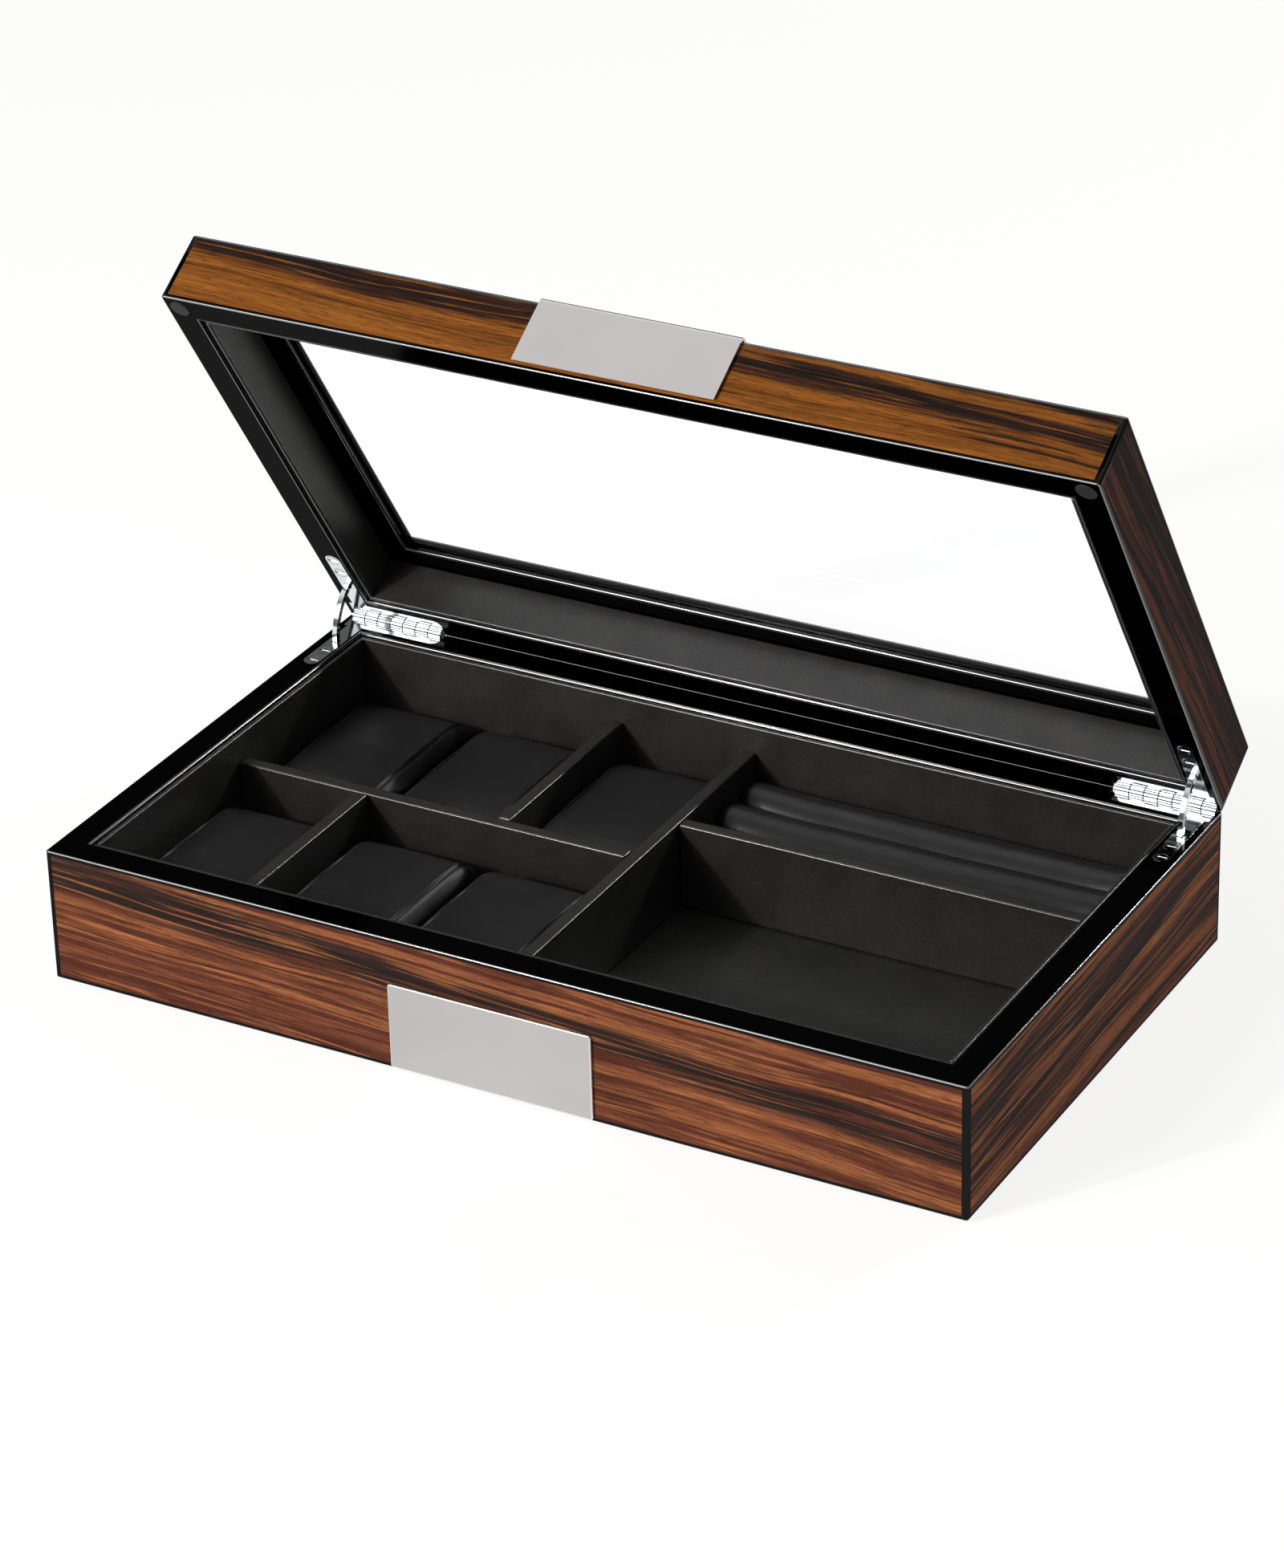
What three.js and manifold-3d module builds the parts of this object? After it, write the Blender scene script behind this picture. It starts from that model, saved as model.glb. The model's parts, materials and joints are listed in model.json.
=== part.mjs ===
// A lacquered display box with a glazed lid, shown with the lid open.
//
// The base is a mitred carcass with a let-in bottom, lined in leatherette and split by padded
// dividers into pillow cells, one wide compartment and a tray of padded rolls. The lid is a
// mitred frame round a pane of glass. Two quadrant hinges in the rear corners join them: each
// has a knuckled leaf let into either rim, a pin, and a curved arm that slides in pockets cut
// in the side walls and stops the lid.
//
// Millimetres. X runs along the box, Y from front to back and Z up. The origin is the centre of
// the underside. Every piece is drawn with the lid shut, and the lid is then swung open.

import * as THREE from 'three';
import { mergeVertices } from 'three/addons/utils/BufferGeometryUtils.js';
import Module from 'manifold-3d';

const wasm = await Module();
wasm.setup();

// Overall sizes
const boxLength = 370;
const boxDepth = 213;
const hingeHeight = 54.5;
const lidHeight = 28.5;
const rimGap = 0.8;
const lidOpening = THREE.MathUtils.degToRad(57.2);
const fullOpening = THREE.MathUtils.degToRad(90);

// Clearances
const fitGap = 0.3;
const runningGap = 0.35;
const overrun = 2;

// Carcass and lid frame
const wallThickness = 12;
const bottomThickness = 4;
const bottomRebate = 5;
const topThickness = 8;
const windowBorder = 24;
const glassThickness = 3;
const glassRebate = 6;
const glassCover = 2.4;

// Veneer panels, set flush between lines of black lacquer
const veneerThickness = 0.8;
const veneerRimEdging = 1.8;
const veneerEndEdging = 2.6;
const windowEdging = 3;

// Linings
const feltThickness = 1;
const feltInset = 4;
const linerThickness = 2;
const linerDrop = 0.9;

// Dividers
const dividerThickness = 5.6;
const dividerDrop = 11.3;
const dividerRound = 1;
const longDividerX = -1.3;
const rowDividerY = 2.8;
const trayDividerY = 32.8;

// Pillows, three to a row: one alone in its cell and two that share one
const pillowsPerRow = 3;
const pillowSideGap = 0.8;
const pillowSpacing = 3.13;
const pillowEndGap = 1.3;
const pillowHeight = 28;
const pillowCrown = 2.6;
const pillowShoulder = 17;
const pillowHeel = 7;
const pillowSidePull = 1.4;
const pillowSideRound = 2.4;
const pillowSeam = 4.2;
const pillowSeamDepth = 0.9;
const pillowSeamWidth = 2;
const pillowSectionPoints = 28;
const pillowMiddleShares = [-0.5, 0, 0.5];

// Padded rolls
const rollCount = 3;
const rollHeight = 28;
const rollFootDraw = 1.4;
const rollEndRound = 3.2;
const rollSag = 0.5;
const rollSectionPoints = 16;
const rollMiddleShares = [0.25, 0.5, 0.75];

// Metal plates on the front
const plateThickness = 1;
const plateCornerRadius = 1;
const basePlateWidth = 82;
const basePlateHeight = 34;
const basePlateBottom = 2.2;
const lidPlateWidth = 80;
const lidPlateDrop = 2.2;
const lidPlateLip = 6;
const lidPlateBend = 1.5;

// Hinges
const leafThickness = 1.6;
const backLegDepth = 8.4;
const backLegOverhang = 1.2;
const backLegOuter = 1.8;
const sideLegWidth = 6.6;
const sideLegInset = 6.7;
const leafEndRadius = 3.4;
const barrelRadius = 2.4;
const barrelLength = 40;
const knuckleCount = 7;
const pinRadius = 1.1;
const barrelSides = 16;

// Curved hinge arms
const armRadius = 22.3;
const armWidth = 2;
const armDepth = 2.4;
const armHeadDepth = 3.6;
const armHeadLength = 1.6;

// Screws
const screwHeadRadius = 2.4;
const screwHeadHeight = 1.3;
const screwShankRadius = 1;
const screwLength = 8;
const screwPoint = 1.4;
const screwSlotWidth = 0.8;
const screwSlotDepth = 0.6;
const screwSides = 14;
const firstScrewReach = 31.3;
const lastScrewReach = 40;

// Rubber bumpers
const bumperRadius = 4;
const bumperProud = 0.5;
const bumperDepth = 1.8;
const bumperEdge = 0.4;
const bumperSides = 20;

// Levels and faces that several pieces share
const baseRim = hingeHeight - rimGap / 2;
const lidRim = hingeHeight + rimGap / 2;
const lidTop = hingeHeight + lidHeight;
const frameUnderside = lidTop - topThickness;
const hingeY = boxDepth / 2;
const carcassBottom = feltThickness + fitGap;
const panelTop = carcassBottom + bottomThickness;
const wallInnerX = boxLength / 2 - wallThickness;
const wallInnerY = boxDepth / 2 - wallThickness;
const linerInnerX = wallInnerX - fitGap - linerThickness;
const linerInnerY = wallInnerY - fitGap - linerThickness;
const floorTop = panelTop + fitGap + linerThickness;
const seatLevel = floorTop + fitGap;
const dividerTop = baseRim - dividerDrop;
const windowHalfX = boxLength / 2 - windowBorder;
const windowHalfY = boxDepth / 2 - windowBorder;
const armX = boxLength / 2 - sideLegInset;
const leafInner = barrelRadius + runningGap;
const barrelEnd = boxLength / 2 - backLegOuter;
const barrelStart = barrelEnd - barrelLength;

// Cells between the dividers, and the pillows that fill them
const halfDivider = dividerThickness / 2;
const leftLining = -linerInnerX;
const cellsRight = longDividerX - halfDivider;
const backRowFront = rowDividerY + halfDivider;
const frontRowBack = rowDividerY - halfDivider;
const trayFront = trayDividerY + halfDivider;
const pillowLength = linerInnerY - backRowFront - 2 * pillowEndGap;
const rowSpare = dividerThickness + 2 * pillowSideGap + pillowsPerRow * pillowSpacing;
const pillowWidth = (cellsRight - leftLining - rowSpare) / pillowsPerRow;
const singleCellWidth = pillowWidth + 2 * pillowSideGap;
const backCellDividerX = cellsRight - singleCellWidth - halfDivider;
const frontCellDividerX = leftLining + singleCellWidth + halfDivider;

const finishes = {
  lacquer: new THREE.MeshStandardMaterial({ color: 0x0b0b0c, roughness: 0.12 }),
  baseVeneer: new THREE.MeshStandardMaterial({ color: 0x6b3520, roughness: 0.28 }),
  lidVeneer: new THREE.MeshStandardMaterial({ color: 0x8a5526, roughness: 0.28 }),
  leatherette: new THREE.MeshStandardMaterial({ color: 0x26282a, roughness: 0.62 }),
  padding: new THREE.MeshStandardMaterial({ color: 0x1b1c1e, roughness: 0.58 }),
  felt: new THREE.MeshStandardMaterial({ color: 0x161617, roughness: 0.95 }),
  brushedSteel: new THREE.MeshStandardMaterial({ color: 0xb9b9ba, roughness: 0.36, metalness: 1 }),
  chrome: new THREE.MeshStandardMaterial({ color: 0xdfe2e5, roughness: 0.08, metalness: 1 }),
  glass: new THREE.MeshStandardMaterial({ color: 0xf2f6f6, roughness: 0.02, transparent: true, opacity: 0.2 }),
  rubber: new THREE.MeshStandardMaterial({ color: 0x141414, roughness: 0.8 }),
};

// Turns a closed three.js geometry into a solid that can be joined and cut.
function toSolid(geometry) {
  const bare = geometry.clone();
  bare.deleteAttribute('normal');
  bare.deleteAttribute('uv');
  const merged = mergeVertices(bare);
  return new wasm.Manifold(new wasm.Mesh({
    numProp: 3,
    vertProperties: new Float32Array(merged.attributes.position.array),
    triVerts: new Uint32Array(merged.index.array),
  }));
}

// Turns a solid back into a geometry.
function toGeometry(solid) {
  const mesh = solid.getMesh();
  const geometry = new THREE.BufferGeometry();
  geometry.setAttribute('position', new THREE.BufferAttribute(new Float32Array(mesh.vertProperties), 3));
  geometry.setIndex(new THREE.BufferAttribute(new Uint32Array(mesh.triVerts), 1));
  return geometry;
}

// Cuts every listed geometry out of the body.
function cut(body, cutters) {
  return toGeometry(cutters.reduce((solid, cutter) => solid.subtract(toSolid(cutter)), toSolid(body)));
}

// Joins the listed geometries into one body.
function join(bodies) {
  return toGeometry(bodies.map(toSolid).reduce((solid, next) => solid.add(next)));
}

// A block between two corners.
function block([x0, x1], [y0, y1], [z0, z1]) {
  const geometry = new THREE.BoxGeometry(x1 - x0, y1 - y0, z1 - z0);
  return geometry.translate((x0 + x1) / 2, (y0 + y1) / 2, (z0 + z1) / 2);
}

// Extrusions of a shape drawn in the plane across the run: YZ for X, XZ for Y, XY for Z.
function extrudeShape(shape, length) {
  return new THREE.ExtrudeGeometry(shape, { depth: length, bevelEnabled: false, curveSegments: 8 });
}

function alongX(shape, x0, x1) {
  const basis = new THREE.Matrix4().makeBasis(
    new THREE.Vector3(0, 1, 0), new THREE.Vector3(0, 0, 1), new THREE.Vector3(1, 0, 0));
  return extrudeShape(shape, x1 - x0).applyMatrix4(basis).translate(x0, 0, 0);
}

function alongY(shape, y0, y1) {
  const basis = new THREE.Matrix4().makeBasis(
    new THREE.Vector3(1, 0, 0), new THREE.Vector3(0, 0, 1), new THREE.Vector3(0, -1, 0));
  return extrudeShape(shape, y1 - y0).applyMatrix4(basis).translate(0, y1, 0);
}

function alongZ(shape, z0, z1) {
  return extrudeShape(shape, z1 - z0).translate(0, 0, z0);
}

// A round bar along X, centred on the hinge line.
function barrel(radius, x0, x1) {
  const geometry = new THREE.CylinderGeometry(radius, radius, x1 - x0, barrelSides);
  return geometry.rotateZ(Math.PI / 2).translate((x0 + x1) / 2, hingeY, hingeHeight);
}

// A rectangle about the origin, as an outline or as the hole in one.
function rectangle(halfX, halfY, Type = THREE.Shape) {
  const outline = new Type();
  outline.moveTo(-halfX, -halfY);
  outline.lineTo(halfX, -halfY);
  outline.lineTo(halfX, halfY);
  outline.lineTo(-halfX, halfY);
  outline.closePath();
  return outline;
}

// A flat rectangular ring about the box's centre line.
function ring(outerX, outerY, innerX, innerY, z0, z1) {
  const outline = rectangle(outerX, outerY);
  outline.holes.push(rectangle(innerX, innerY, THREE.Path));
  return alongZ(outline, z0, z1);
}

// Mirrors a piece drawn for the right-hand side of the lid to the other side or to the base.
function mirror(geometry, hand, half) {
  const matrix = new THREE.Matrix4().makeScale(hand, 1, half);
  matrix.setPosition(0, 0, half < 0 ? hingeHeight * 2 : 0);
  const mirrored = mergeVertices(stripped(geometry)).applyMatrix4(matrix);
  if (hand * half < 0) {
    const order = mirrored.index.array;
    for (let i = 0; i < order.length; i += 3) {
      [order[i + 1], order[i + 2]] = [order[i + 2], order[i + 1]];
    }
  }
  return mirrored;
}

function stripped(geometry) {
  const bare = geometry.clone();
  bare.deleteAttribute('normal');
  bare.deleteAttribute('uv');
  return bare;
}

// Skins rings of points, counterclockwise seen from +X, into a body closed by a fan at each end.
function loft(rings, startCentre, endCentre) {
  const count = rings[0].length;
  const points = rings.flat();
  const faces = [];
  for (let i = 0; i + 1 < rings.length; i += 1) {
    for (let j = 0; j < count; j += 1) {
      const next = (j + 1) % count;
      const [a, b] = [i * count + j, i * count + next];
      faces.push(a, b, b + count, a, b + count, a + count);
    }
  }
  const start = points.push(startCentre) - 1;
  const end = points.push(endCentre) - 1;
  const lastRing = (rings.length - 1) * count;
  for (let j = 0; j < count; j += 1) {
    const next = (j + 1) % count;
    faces.push(start, next, j, end, lastRing + j, lastRing + next);
  }
  const geometry = new THREE.BufferGeometry().setFromPoints(points);
  geometry.setIndex(faces);
  return geometry;
}

// One of the four sides of a mitred frame. Quarter turns run front, right, back, left.
function sideFace(turns) {
  const lengthwise = turns % 2 === 0;
  return {
    halfLength: (lengthwise ? boxLength : boxDepth) / 2,
    face: (lengthwise ? boxDepth : boxLength) / 2,
    endGap: lengthwise ? 0 : fitGap,
    turn: turns * Math.PI / 2,
  };
}

function mitredSide(turns, z0, z1) {
  const { halfLength, face, endGap, turn } = sideFace(turns);
  const outer = halfLength - endGap;
  const inner = outer - wallThickness;
  const outline = new THREE.Shape();
  outline.moveTo(-outer, -face);
  outline.lineTo(outer, -face);
  outline.lineTo(inner, -face + wallThickness);
  outline.lineTo(-inner, -face + wallThickness);
  outline.closePath();
  return alongZ(outline, z0, z1).rotateZ(turn);
}

// The veneer panel of one side, or with a gap round it the recess that it lies in.
function sideVeneer(turns, z0, z1, gap) {
  const { halfLength, face, turn } = sideFace(turns);
  const reach = halfLength - veneerEndEdging + gap;
  const proud = gap > 0 ? overrun : 0;
  const panel = block(
    [-reach, reach],
    [-face - proud, -face + veneerThickness + gap],
    [z0 + veneerRimEdging - gap, z1 - veneerRimEdging + gap]);
  return panel.rotateZ(turn);
}

// Hinge leaf outline in plan for the right-hand corner. Its mortise is grown by a gap and runs
// out through the back edge.
function leafOutline(gap) {
  const back = gap > 0 ? hingeY + overrun : hingeY - leafInner;
  const front = hingeY - backLegDepth - gap;
  const outer = boxLength / 2 - backLegOuter + gap;
  const free = barrelStart - backLegOverhang - gap;
  const halfLeg = sideLegWidth / 2 + gap;
  const endRadius = leafEndRadius + gap;
  const endY = hingeY - lastScrewReach;
  const outline = new THREE.Shape();
  outline.moveTo(outer, back);
  outline.lineTo(free, back);
  outline.absarc(free + endRadius, front + endRadius, endRadius, Math.PI, Math.PI * 3 / 2, false);
  outline.lineTo(armX - halfLeg, front);
  outline.absarc(armX, endY, halfLeg, Math.PI, Math.PI * 2, false);
  outline.lineTo(armX + halfLeg, front);
  outline.lineTo(outer, front);
  outline.closePath();
  return outline;
}

const knucklePitch = barrelLength / knuckleCount;
const screwReaches = [firstScrewReach, lastScrewReach];

// A countersunk wood screw, drawn point up as it enters the lid's rim, before its slot is cut.
function screwBlank(reach, gap) {
  const head = screwHeadRadius + gap;
  const shank = screwShankRadius + gap;
  const profile = [
    new THREE.Vector2(0, 0),
    new THREE.Vector2(head, 0),
    new THREE.Vector2(shank, screwHeadHeight + gap),
    new THREE.Vector2(shank, screwLength - screwPoint + gap),
    new THREE.Vector2(0, screwLength + gap),
  ];
  const blank = new THREE.LatheGeometry(profile, screwSides).rotateX(Math.PI / 2);
  return blank.translate(armX, hingeY - reach, lidRim);
}

// The clearance hole of a screw, open at the rim.
function screwHole(reach) {
  const mouth = new THREE.CylinderGeometry(
    screwHeadRadius + fitGap, screwHeadRadius + fitGap, overrun, screwSides);
  mouth.rotateX(Math.PI / 2).translate(armX, hingeY - reach, lidRim - overrun / 2 + fitGap / 2);
  return join([screwBlank(reach, fitGap), mouth]);
}

function screw(reach, hand, half) {
  const slot = block(
    [armX - screwHeadRadius * 2, armX + screwHeadRadius * 2],
    [hingeY - reach - screwSlotWidth / 2, hingeY - reach + screwSlotWidth / 2],
    [lidRim - overrun, lidRim + screwSlotDepth]);
  return mirror(cut(screwBlank(reach, 0), [slot]), hand, half);
}

// A band of a ring about the hinge line in the YZ plane. Angles run up from straight forward.
function arcBand(radius, depth, from, to) {
  const band = new THREE.Shape();
  const outer = radius + depth / 2;
  const inner = radius - depth / 2;
  band.absarc(hingeY, hingeHeight, outer, Math.PI - from, Math.PI - to, true);
  band.absarc(hingeY, hingeHeight, inner, Math.PI - to, Math.PI - from, false);
  band.closePath();
  return band;
}

// Half the sweep of an arm: half the full opening, the rim and leaf at its end, and its head.
const armHeadAngle = armHeadLength / armRadius;
const leafAngle = (rimGap / 2 + leafThickness + fitGap) / armRadius;
const armHalfSweep = fullOpening / 2 + leafAngle + armHeadAngle;
const pocketSweep = armHalfSweep + fitGap / armRadius;

function hingeArm(hand) {
  const [x0, x1] = [armX - armWidth / 2, armX + armWidth / 2];
  const body = alongX(arcBand(armRadius, armDepth, -armHalfSweep, armHalfSweep), x0, x1);
  const heads = [-1, 1].map((end) => {
    const tip = end * armHalfSweep;
    const neck = end * (armHalfSweep - armHeadAngle);
    return alongX(arcBand(armRadius, armHeadDepth, Math.min(tip, neck), Math.max(tip, neck)), x0, x1);
  });
  return mirror(join([body, ...heads]), hand, 1);
}

// The wood that one hinge takes out of the rim: a mortise for the leaf, a trench for the
// knuckles, a curved pocket for the arm and a hole for each screw.
function hingeRecesses(hand, half) {
  const pocketX = armWidth / 2 + runningGap;
  const recesses = [
    alongZ(leafOutline(fitGap), lidRim - overrun, lidRim + leafThickness + fitGap),
    barrel(barrelRadius + runningGap, barrelStart - fitGap, barrelEnd + fitGap),
    alongX(
      arcBand(armRadius, armHeadDepth + runningGap * 2, 0, pocketSweep),
      armX - pocketX, armX + pocketX),
    ...screwReaches.map(screwHole),
  ];
  return recesses.map((recess) => mirror(recess, hand, half));
}

// A hinge leaf. The base takes the first knuckle and then every other one, the lid the rest.
function hingeLeaf(hand, half) {
  const plate = alongZ(leafOutline(0), lidRim, lidRim + leafThickness);
  const knuckles = [];
  for (let i = half < 0 ? 0 : 1; i < knuckleCount; i += 2) {
    const x0 = barrelStart + i * knucklePitch + (i > 0 ? fitGap / 2 : 0);
    const x1 = barrelStart + (i + 1) * knucklePitch - (i + 1 < knuckleCount ? fitGap / 2 : 0);
    const web = block(
      [x0, x1], [hingeY - leafInner - leafThickness, hingeY], [lidRim, lidRim + leafThickness]);
    knuckles.push(barrel(barrelRadius, x0, x1), web);
  }
  const bore = barrel(pinRadius + runningGap, barrelStart - overrun, barrelEnd + overrun);
  const slotX = armWidth / 2 + runningGap;
  const slotY = armDepth / 2 + runningGap;
  const slot = block(
    [armX - slotX, armX + slotX],
    [hingeY - armRadius - slotY, hingeY - armRadius + slotY],
    [lidRim - overrun, lidRim + leafThickness + overrun]);
  const holes = screwReaches.map(screwHole);
  return mirror(cut(join([plate, ...knuckles]), [bore, slot, ...holes]), hand, half);
}

function hingePin(hand) {
  return mirror(barrel(pinRadius, barrelStart, barrelEnd), hand, 1);
}

// Lacquered sides of the base, with the rebate that holds the bottom panel.
function baseWall(turns) {
  const { halfLength, face, turn } = sideFace(turns);
  const rebate = block(
    [-halfLength, halfLength],
    [-face + wallThickness - bottomRebate, -face + wallThickness + overrun],
    [carcassBottom - overrun, panelTop + fitGap]).rotateZ(turn);
  const cutters = [rebate, sideVeneer(turns, carcassBottom, baseRim, fitGap)];
  return cut(mitredSide(turns, carcassBottom, baseRim), [...cutters, ...allRecesses(turns, -1)]);
}

// The hinge recesses that reach the given side: those of its own corners, none at the front.
function allRecesses(turns, half) {
  const hands = [[], [1], [1, -1], [-1]][turns];
  return hands.flatMap((hand) => hingeRecesses(hand, half));
}

// Lacquered rails of the lid. The front corners are drilled for the bumpers.
function lidRail(turns) {
  const railTop = frameUnderside - fitGap;
  const cutters = [sideVeneer(turns, lidRim, lidTop, fitGap), ...allRecesses(turns, 1)];
  if (turns !== 2) {
    cutters.push(bumperPocket(1), bumperPocket(-1));
  }
  return cut(mitredSide(turns, lidRim, railTop), cutters);
}

const bumperX = boxLength / 2 - wallThickness / 2;
const bumperY = -boxDepth / 2 + wallThickness / 2;

function bumperPocket(hand) {
  const radius = bumperRadius + fitGap;
  const height = overrun + bumperDepth + fitGap;
  const pocket = new THREE.CylinderGeometry(radius, radius, height, bumperSides).rotateX(Math.PI / 2);
  return pocket.translate(hand * bumperX, bumperY, lidRim - overrun + height / 2);
}

function bumper(hand) {
  const profile = [
    new THREE.Vector2(0, -bumperProud),
    new THREE.Vector2(bumperRadius - bumperEdge, -bumperProud),
    new THREE.Vector2(bumperRadius, -bumperProud + bumperEdge),
    new THREE.Vector2(bumperRadius, bumperDepth),
    new THREE.Vector2(0, bumperDepth),
  ];
  const button = new THREE.LatheGeometry(profile, bumperSides).rotateX(Math.PI / 2);
  return button.translate(hand * bumperX, bumperY, lidRim);
}

// The lid's top: a lacquered frame with a recess for its veneer and a rebate for the glass.
function topFrame() {
  const rebateX = windowHalfX + glassRebate;
  const rebateY = windowHalfY + glassRebate;
  const rebate = block(
    [-rebateX, rebateX], [-rebateY, rebateY], [frameUnderside - overrun, lidTop - glassCover]);
  const edges = [0, 1, 2, 3].map((turns) => sideVeneer(turns, lidRim, lidTop, fitGap));
  const frame = ring(boxLength / 2, boxDepth / 2, windowHalfX, windowHalfY, frameUnderside, lidTop);
  return cut(frame, [rebate, topVeneer(fitGap), ...edges]);
}

function topVeneer(gap) {
  const outer = veneerEndEdging - gap;
  const inner = windowEdging - gap;
  return ring(
    boxLength / 2 - outer, boxDepth / 2 - outer, windowHalfX + inner, windowHalfY + inner,
    lidTop - veneerThickness - gap, gap > 0 ? lidTop + overrun : lidTop);
}

const paneX = windowHalfX + glassRebate - fitGap;
const paneY = windowHalfY + glassRebate - fitGap;
const paneTop = lidTop - glassCover - fitGap;

function windowGlass() {
  return block([-paneX, paneX], [-paneY, paneY], [paneTop - glassThickness, paneTop]);
}

function glassBead() {
  const top = paneTop - glassThickness - fitGap;
  return ring(paneX, paneY, windowHalfX, windowHalfY, frameUnderside, top);
}

function liningRing(z0, z1) {
  return ring(wallInnerX - fitGap, wallInnerY - fitGap, linerInnerX, linerInnerY, z0, z1);
}

function sheet(halfX, halfY, z0, z1) {
  return block([-halfX, halfX], [-halfY, halfY], [z0, z1]);
}

// Divider boards: a leatherette-wrapped board with its top edges rounded.
function dividerProfile(centre) {
  const half = dividerThickness / 2;
  const arcY = dividerTop - dividerRound;
  const profile = new THREE.Shape();
  profile.moveTo(centre - half, seatLevel);
  profile.lineTo(centre + half, seatLevel);
  profile.absarc(centre + half - dividerRound, arcY, dividerRound, 0, Math.PI / 2, false);
  profile.absarc(centre - half + dividerRound, arcY, dividerRound, Math.PI / 2, Math.PI, false);
  profile.closePath();
  return profile;
}

const dividers = {
  long_divider: () => alongY(
    dividerProfile(longDividerX), -linerInnerY + fitGap, linerInnerY - fitGap),
  row_divider: () => alongX(
    dividerProfile(rowDividerY), leftLining + fitGap, cellsRight - fitGap),
  back_cell_divider: () => alongY(
    dividerProfile(backCellDividerX), backRowFront + fitGap, linerInnerY - fitGap),
  front_cell_divider: () => alongY(
    dividerProfile(frontCellDividerX), -linerInnerY + fitGap, frontRowBack - fitGap),
  tray_divider: () => alongX(
    dividerProfile(trayDividerY), longDividerX + halfDivider + fitGap, linerInnerX - fitGap),
};

// A pillow: a padded loaf with rounded shoulders front and back and a crowned top. A sewn seam
// runs round it near either side, and the rounded sides beyond draw in between their corners.
function pillowOutline(inset) {
  const half = pillowLength / 2 - inset;
  const [low, high] = [inset, pillowHeight - pillowCrown - inset];
  const [heel, shoulder] = [pillowHeel - inset, pillowShoulder - inset];
  const outline = new THREE.Shape();
  outline.moveTo(-half + heel, low);
  outline.absarc(half - heel, low + heel, heel, -Math.PI / 2, 0, false);
  outline.absarc(half - shoulder, high - shoulder, shoulder, 0, Math.PI / 2, false);
  outline.absarc(-half + shoulder, high - shoulder, shoulder, Math.PI / 2, Math.PI, false);
  outline.absarc(-half + heel, low + heel, heel, Math.PI, Math.PI * 3 / 2, false);
  return outline.getSpacedPoints(pillowSectionPoints).slice(0, -1);
}

// Stations across a pillow, each with how far its outline is drawn in there.
function pillowStations() {
  const chamfer = pillowSideRound * (1 - Math.SQRT1_2);
  const halfSeam = pillowSeamWidth / 2;
  const side = [
    [0, pillowSideRound],
    [chamfer, chamfer],
    [pillowSideRound, 0],
    [pillowSeam - halfSeam, 0],
    [pillowSeam, pillowSeamDepth],
    [pillowSeam + halfSeam, 0],
  ];
  const left = side.map(([distance, inset]) => [distance - pillowWidth / 2, inset]);
  const middle = pillowMiddleShares.map((share) => [share * pillowWidth / 2, 0]);
  const right = left.map(([x, inset]) => [-x, inset]).reverse();
  return [...left, ...middle, ...right];
}

function pillow() {
  const bow = (y) => 1 - (2 * y / pillowLength) ** 2;
  const rings = pillowStations().map(([x, inset]) => {
    const share = 2 * x / pillowWidth;
    return pillowOutline(inset).map(({ x: y, y: z }) => {
      const reach = pillowWidth / 2 - pillowSidePull * bow(y) * share ** 2;
      const lift = pillowCrown * (1 - share ** 2) * bow(y) * z / pillowHeight;
      return new THREE.Vector3(share * reach, y, z + lift);
    });
  });
  const panelX = pillowWidth / 2 - pillowSidePull;
  const middle = (pillowHeight - pillowCrown) / 2;
  return loft(rings, new THREE.Vector3(-panelX, 0, middle), new THREE.Vector3(panelX, 0, middle));
}

// Middles of the pillows in a cell, spread evenly between its two faces.
function cellMiddles(left, right, count) {
  const margin = (right - left - count * pillowWidth) / (count + 1);
  return Array.from({ length: count }, (_, i) => left + margin + pillowWidth / 2
    + i * (pillowWidth + margin));
}

const backRowY = (backRowFront + linerInnerY) / 2;
const frontRowY = (frontRowBack - linerInnerY) / 2;
const pillowPlaces = [
  ...cellMiddles(leftLining, backCellDividerX - halfDivider, 2).map((x) => ['back', x, backRowY]),
  ...cellMiddles(backCellDividerX + halfDivider, cellsRight, 1).map((x) => ['back', x, backRowY]),
  ...cellMiddles(leftLining, frontCellDividerX - halfDivider, 1).map((x) => ['front', x, frontRowY]),
  ...cellMiddles(frontCellDividerX + halfDivider, cellsRight, 2).map((x) => ['front', x, frontRowY]),
];

// A padded roll: a foam bar with a half-round top and drawn-in foot, wrapped in leatherette.
const trayLeft = longDividerX + halfDivider + fitGap;
const trayRight = linerInnerX - fitGap;
const rollPitch = (linerInnerY - trayFront - fitGap) / rollCount;
const rollRadius = (rollPitch - fitGap) / 2;

function rollOutline(inset) {
  const radius = rollRadius - inset;
  const foot = radius - rollFootDraw;
  const centre = rollHeight - rollRadius;
  const outline = new THREE.Shape();
  outline.moveTo(-foot, inset);
  outline.lineTo(foot, inset);
  outline.quadraticCurveTo(radius, inset, radius, centre);
  outline.absarc(0, centre, radius, 0, Math.PI, false);
  outline.quadraticCurveTo(-radius, inset, -foot, inset);
  return outline.getSpacedPoints(rollSectionPoints).slice(0, -1);
}

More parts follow.
